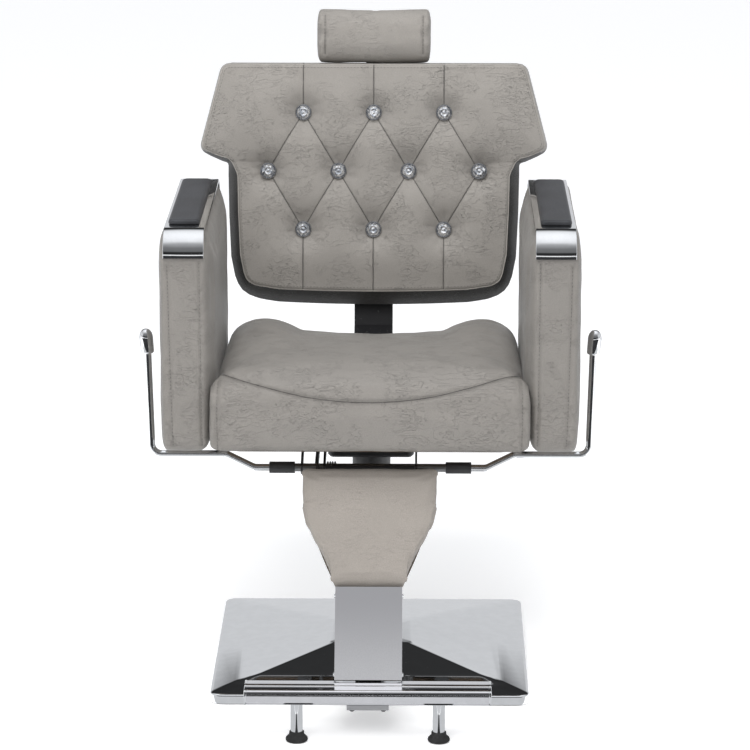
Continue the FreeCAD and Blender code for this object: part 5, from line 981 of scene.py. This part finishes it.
# ------------ seat, arms, calf rest and headrest
LEG_TILT = math.radians(33.4)
LEG_TOP = np.array(Vector((0, -0.205, 0.408)))
LEG_DOWN = np.array(Vector((0, -math.sin(LEG_TILT), -math.cos(LEG_TILT))))
LEG_IN = np.array(Vector((0, math.cos(LEG_TILT), -math.sin(LEG_TILT))))


def calf_depth(points):
    """How far points lie in under the calf rest's slope."""
    return (points - LEG_TOP) @ LEG_IN


def calf_half(down, across):
    """The photographed outline: parallel at the top, then two soft bends in to the cover."""
    full = np.interp(down, *zip(*mm((0, 114.6), (45, 114.6), (75, 112.5), (100, 107), (125, 96.8), (150, 83.2),
                                    (180, 70.5), (214, 60.8))))
    return full - 0.006 * (1 - ramp(down, 0.0, 0.008)) - 0.0015 * np.clip(np.abs(across) - 0.004, 0, 0.01) / 0.01


def seat_half(place, height):
    """Nearly upright sides with a small round at the foot and a larger one at the top."""
    side = np.interp(place, [-0.25, -0.2, -0.1, 0.1, 0.196], [0.273, 0.27, 0.264, 0.262, 0.261])
    crest = np.interp(place, [-0.25, -0.215, -0.18, -0.05, 0.196], [0.57, 0.573, 0.575, 0.582, 0.589])
    drop = np.interp(place, [-0.25, -0.2, -0.1], [0.016, 0.02, 0.034])

    def rounded(share):
        return 1 - np.sqrt(1 - np.clip(share, 0, 1) ** 2)
    return (side - 0.01 * rounded(1 - (height - 0.443) / 0.012)
            - 0.65 * drop * rounded((height - (crest - drop)) / (drop + 0.002)))


def bolsters(points):
    """The rise along both sides of the seat, which fades towards its front and its outer edges."""
    away = np.abs(points[:, 0])
    return (0.011 * ramp(away, 0.12, 0.175) * (1 - ramp(away, 0.228, 0.268))
            * ramp(points[:, 1], -0.17, 0.1) * ramp(points[:, 2], 0.46, 0.565))


def arm_held(points):
    """The band under the chrome strap keeps its shape; both faces swell."""
    away = np.abs(points[:, 0])
    return (away > 0.286) & (away < 0.347)


def armrest_pad(side):
    """The black pad on an arm, shorter than its CAD part and a little further out, as photographed."""
    name = "armrest_pad_" + side
    pad = remeshed(name, "_shell", pad_black, 0.0022, 5)
    placed(pad, "seat", name)
    points = points_of(pad)
    points[:, 1] = np.interp(points[:, 1], [-0.1844, -0.17, 0.2, 0.2514], [-0.1744, -0.162, 0.15, 0.201])
    away = np.abs(points[:, 0])
    points[:, 0] *= np.interp(away, [0.285, 0.294, 0.341], [0.288, 0.297, 0.3415]) / away
    set_points(pad, points)


seat = stuffed("seat_cushion", 0.006, 4.0, hide, "seat", 0.004, 0.006, lambda points: points[:, 2] < 0.4475)
arms = [stuffed("arm_panel_" + side, 0.006, 4.0, hide, "seat", 0.003, 0.006, arm_held)
        for side in ("left", "right")]
calf = stuffed("calf_pad", 0.004, 3.0, calf_hide, "leg_rest", 0.0025, 0.004,
               lambda points: calf_depth(points) > 0.0165)
widened(calf, lambda points: (points - LEG_TOP) @ LEG_DOWN, lambda points: calf_depth(points) - 0.008, calf_half, 0.6)
points = points_of(seat)
points[:, 2] += bolsters(points)
set_points(seat, points)
widened(seat, lambda points: points[:, 1], lambda points: points[:, 2], seat_half, 0.55)
headrest = stuffed("headrest_pad", 0.0045, 4.0, head_hide, "headrest", 0.0025, 0.005)
armrest_pad("left")
armrest_pad("right")


# ------------ sewn lines
REARWARD = (0, 1, 0)
SIGHT = (0, 0.97, -0.2436)
ROLL_MIDDLE = Vector((0, 0.262, 1.085))


def sewn_seat():
    """The smiling seam across the front of the seat, with a near black cord laid in it as the seam's painted shade, and
    a run of stitches up each front corner.
    """
    skin = surface_of(seat)
    smile = [(x, -0.244, z) for x, z in mm((-257, 580), (-194, 560), (-100, 537), (-5, 529), (88, 536), (162, 553),
                                           (228, 573), (259, 576))]
    smile = laid(skin, curve_through(smile, 40), SIGHT)
    pressed(seat, smile, 0.0035, 0.0042)
    runs = []
    for side in (-1, 1):
        corner = [(side * x, -0.4, z) for x, z in ((0.2575, 0.448), (0.2585, 0.5), (0.2575, 0.56))]
        runs.append(laid(skin, curve_through(corner, 30), REARWARD, 0.3))
        pressed(seat, runs[-1], 0.0028, 0.0034)
    stitches("seat_stitches", runs, "seat")
    # A near black cord laid in the pressed seam: painted shade.
    cord_along("seat_seam_shade", [tuple(spot) for spot, _ in smile], 0.0006, seam_shade_cord, "seat")


def sewn_arms():
    """Stitches up both front corners of each arm."""
    runs = []
    for arm, turn in zip(arms, (-1, 1)):
        skin = surface_of(arm)
        for foot, head, low, high in ((0.334, 0.341, 0.446, 0.766), (0.285, 0.2872, 0.446, 0.772)):
            line = [(turn * (foot + (head - foot) * (k / 40) ** 0.7), -0.6, low + (high - low) * k / 40)
                    for k in range(41)]
            runs.append(laid(skin, line, REARWARD, 0.7))
            pressed(arm, runs[-1], 0.0022, 0.0026)
    stitches("arm_stitches", runs, "seat")


def sewn_headrest():
    """Stitches round both ends of the headrest's roll."""
    skin = surface_of(headrest)
    runs = []
    for across in (-0.0885, 0.0885):
        middle = ROLL_MIDDLE + Vector((across, 0, 0))
        found = []
        for k in range(-40, 41):
            angle = k * math.pi / 40
            spot = Vector((across, 0.262 + 0.08 * math.cos(angle), 1.085 + 0.08 * math.sin(angle)))
            hit, normal, _, _ = skin.ray_cast(spot, (middle - spot).normalized(), 0.2)
            if hit is not None:
                found.append((hit, normal))
        filled = []
        for (a, normal), (b, _) in zip(found, found[1:]):
            count = max(1, int((b - a).length / 0.0012))
            filled += [(a.lerp(b, i / count), normal) for i in range(count)]
        pressed(headrest, filled, 0.0022, 0.0028)
        runs.append(filled)
    stitches("headrest_stitches", runs, "headrest")


sewn_seat()
sewn_arms()
sewn_headrest()
for pad, height, size, seed in ((seat, 0.0011, 0.035, 3.0), (arms[0], 0.0009, 0.04, 11.0),
                                (arms[1], 0.0009, 0.04, 12.0), (calf, 0.0006, 0.04, 17.0),
                                (headrest, 0.0007, 0.03, 23.0)):
    rippled(pad, height, size, seed)


# ------------ studio
def studio_light():
    """Walls of light all round, with darkness high behind the chair and low in front of it."""
    world = bpy.data.worlds.new("studio")
    bpy.context.scene.world = world
    sky = Nodes(world, "Background", "OutputWorld")
    where = sky.node("TexCoord", out="Generated")
    rearward, height = (sky.node("SeparateXYZ", {0: where}, axis) for axis in (1, 2))

    def bands(*stops):
        """Light by height above the horizon, as the sine of its angle."""
        made = sky.node("ValToRGB", {0: height})
        elements = made.socket.node.color_ramp.elements
        ends = list(elements) + [elements.new(1) for _ in stops[2:]]
        for end, (place, level) in zip(ends, stops):
            end.position = place
            end.color = (level * 0.985, level, level * 1.03, 1)
        return made

    rear = bands((0.0, 0.88), (0.3, 0.86), (0.385, 0.03), (0.66, 0.05), (0.82, 1.1), (1.0, 1.5))
    sides = bands((0.0, 0.75), (0.25, 1.0), (0.45, 0.8), (0.6, 0.7), (0.8, 1.1), (1.0, 1.5))
    front = bands((0.0, 0.03), (0.13, 0.05), (0.18, 0.2), (0.45, 0.26), (0.62, 0.45), (0.78, 0.62), (0.9, 1.2),
                  (1.0, 1.5))
    light = sky.mix(rearward.between(-0.72, -0.45), front, sides)
    sky.feed(Color=sky.mix(rearward.between(0.35, 0.62), light, rear), Strength=0.78)


def sheet(name, x0, x1, y0, y1, height, paint):
    """A flat sheet of the studio."""
    corners = [(x0, y0, height), (x1, y0, height), (x1, y1, height), (x0, y1, height)]
    made = new_mesh(name, corners, [(0, 1, 2, 3)], paint.material)
    return made


def floor_card(name, x0, x1, y0, y1, level=0.0, height=0.003):
    """A card on the floor that only polished metal sees: black, or giving off an even grey."""
    paint = Paint(name + "_sheet", Base_Color=(0.012, 0.012, 0.013), Roughness=1.0,
                  Emission_Color=(0.985, 1.0, 1.03), Emission_Strength=level)
    made = sheet(name, x0, x1, y0, y1, height, paint)
    made.visible_camera = made.visible_diffuse = made.visible_shadow = made.visible_transmission = False


def softbox(name, place, aim, width, height, power):
    """A large soft lamp that looks at a point and isn't mirrored in the metal."""
    lamp = bpy.data.lights.new(name, "AREA")
    lamp.shape = "RECTANGLE"
    lamp.size, lamp.size_y = width, height
    lamp.energy = power
    thing = linked(name, lamp)
    thing.location = place
    thing.visible_glossy = False
    thing.rotation_euler = (Vector(aim) - Vector(place)).to_track_quat("-Z", "Y").to_euler()


def photo_view():
    """The camera as the photo was taken: its focal length is 3560 of the photo's 750 pixels."""
    view = bpy.data.cameras.new("photo_view")
    view.sensor_width = 36
    view.lens = 3560 * view.sensor_width / 750
    view.shift_x = 3.5 / 750
    view.clip_start, view.clip_end = 0.5, 120
    stand = linked("photo_view", view)
    stand.location = (0.0847, -6.0656, 2.0397)
    stand.rotation_euler = (math.radians(90 - 14.1), 0, math.radians(0.8))
    bpy.context.scene.camera = stand


floor_white = Paint("floor_white", Base_Color=(0.88, 0.88, 0.88), Roughness=0.9, Specular_IOR_Level=0.1,
                    Emission_Color=(1.0, 1.0, 1.0), Emission_Strength=0.35)
sheet("floor", -30, 30, -12, 45, 0, floor_white)
studio_light()
floor_card("front_flag", -3.2, 3.2, -5.6, -1.25)
floor_card("front_grey", -1.6, 1.6, -1.25, -0.6, 0.66)
floor_card("near_grey", -0.6, 0.6, -0.6, -0.2752, 0.6, 0.0008)
floor_card("foot_line_left", -0.143, -0.094, -0.73, -0.5, 0.0, 0.0012)
floor_card("foot_line_right", 0.094, 0.143, -0.73, -0.5, 0.0, 0.0012)
floor_card("rear_grey", -5.0, 5.0, 0.9, 14.0, 0.68)
softbox("key", (-0.5, -3.7, 3.1), (0, 0, 0.6), 2.8, 2.2, 132)
softbox("top", (0.0, -1.35, 4.1), (0, 0, 0.55), 2.4, 2.0, 72)
bpy.context.scene.view_settings.view_transform = "Standard"
photo_view()
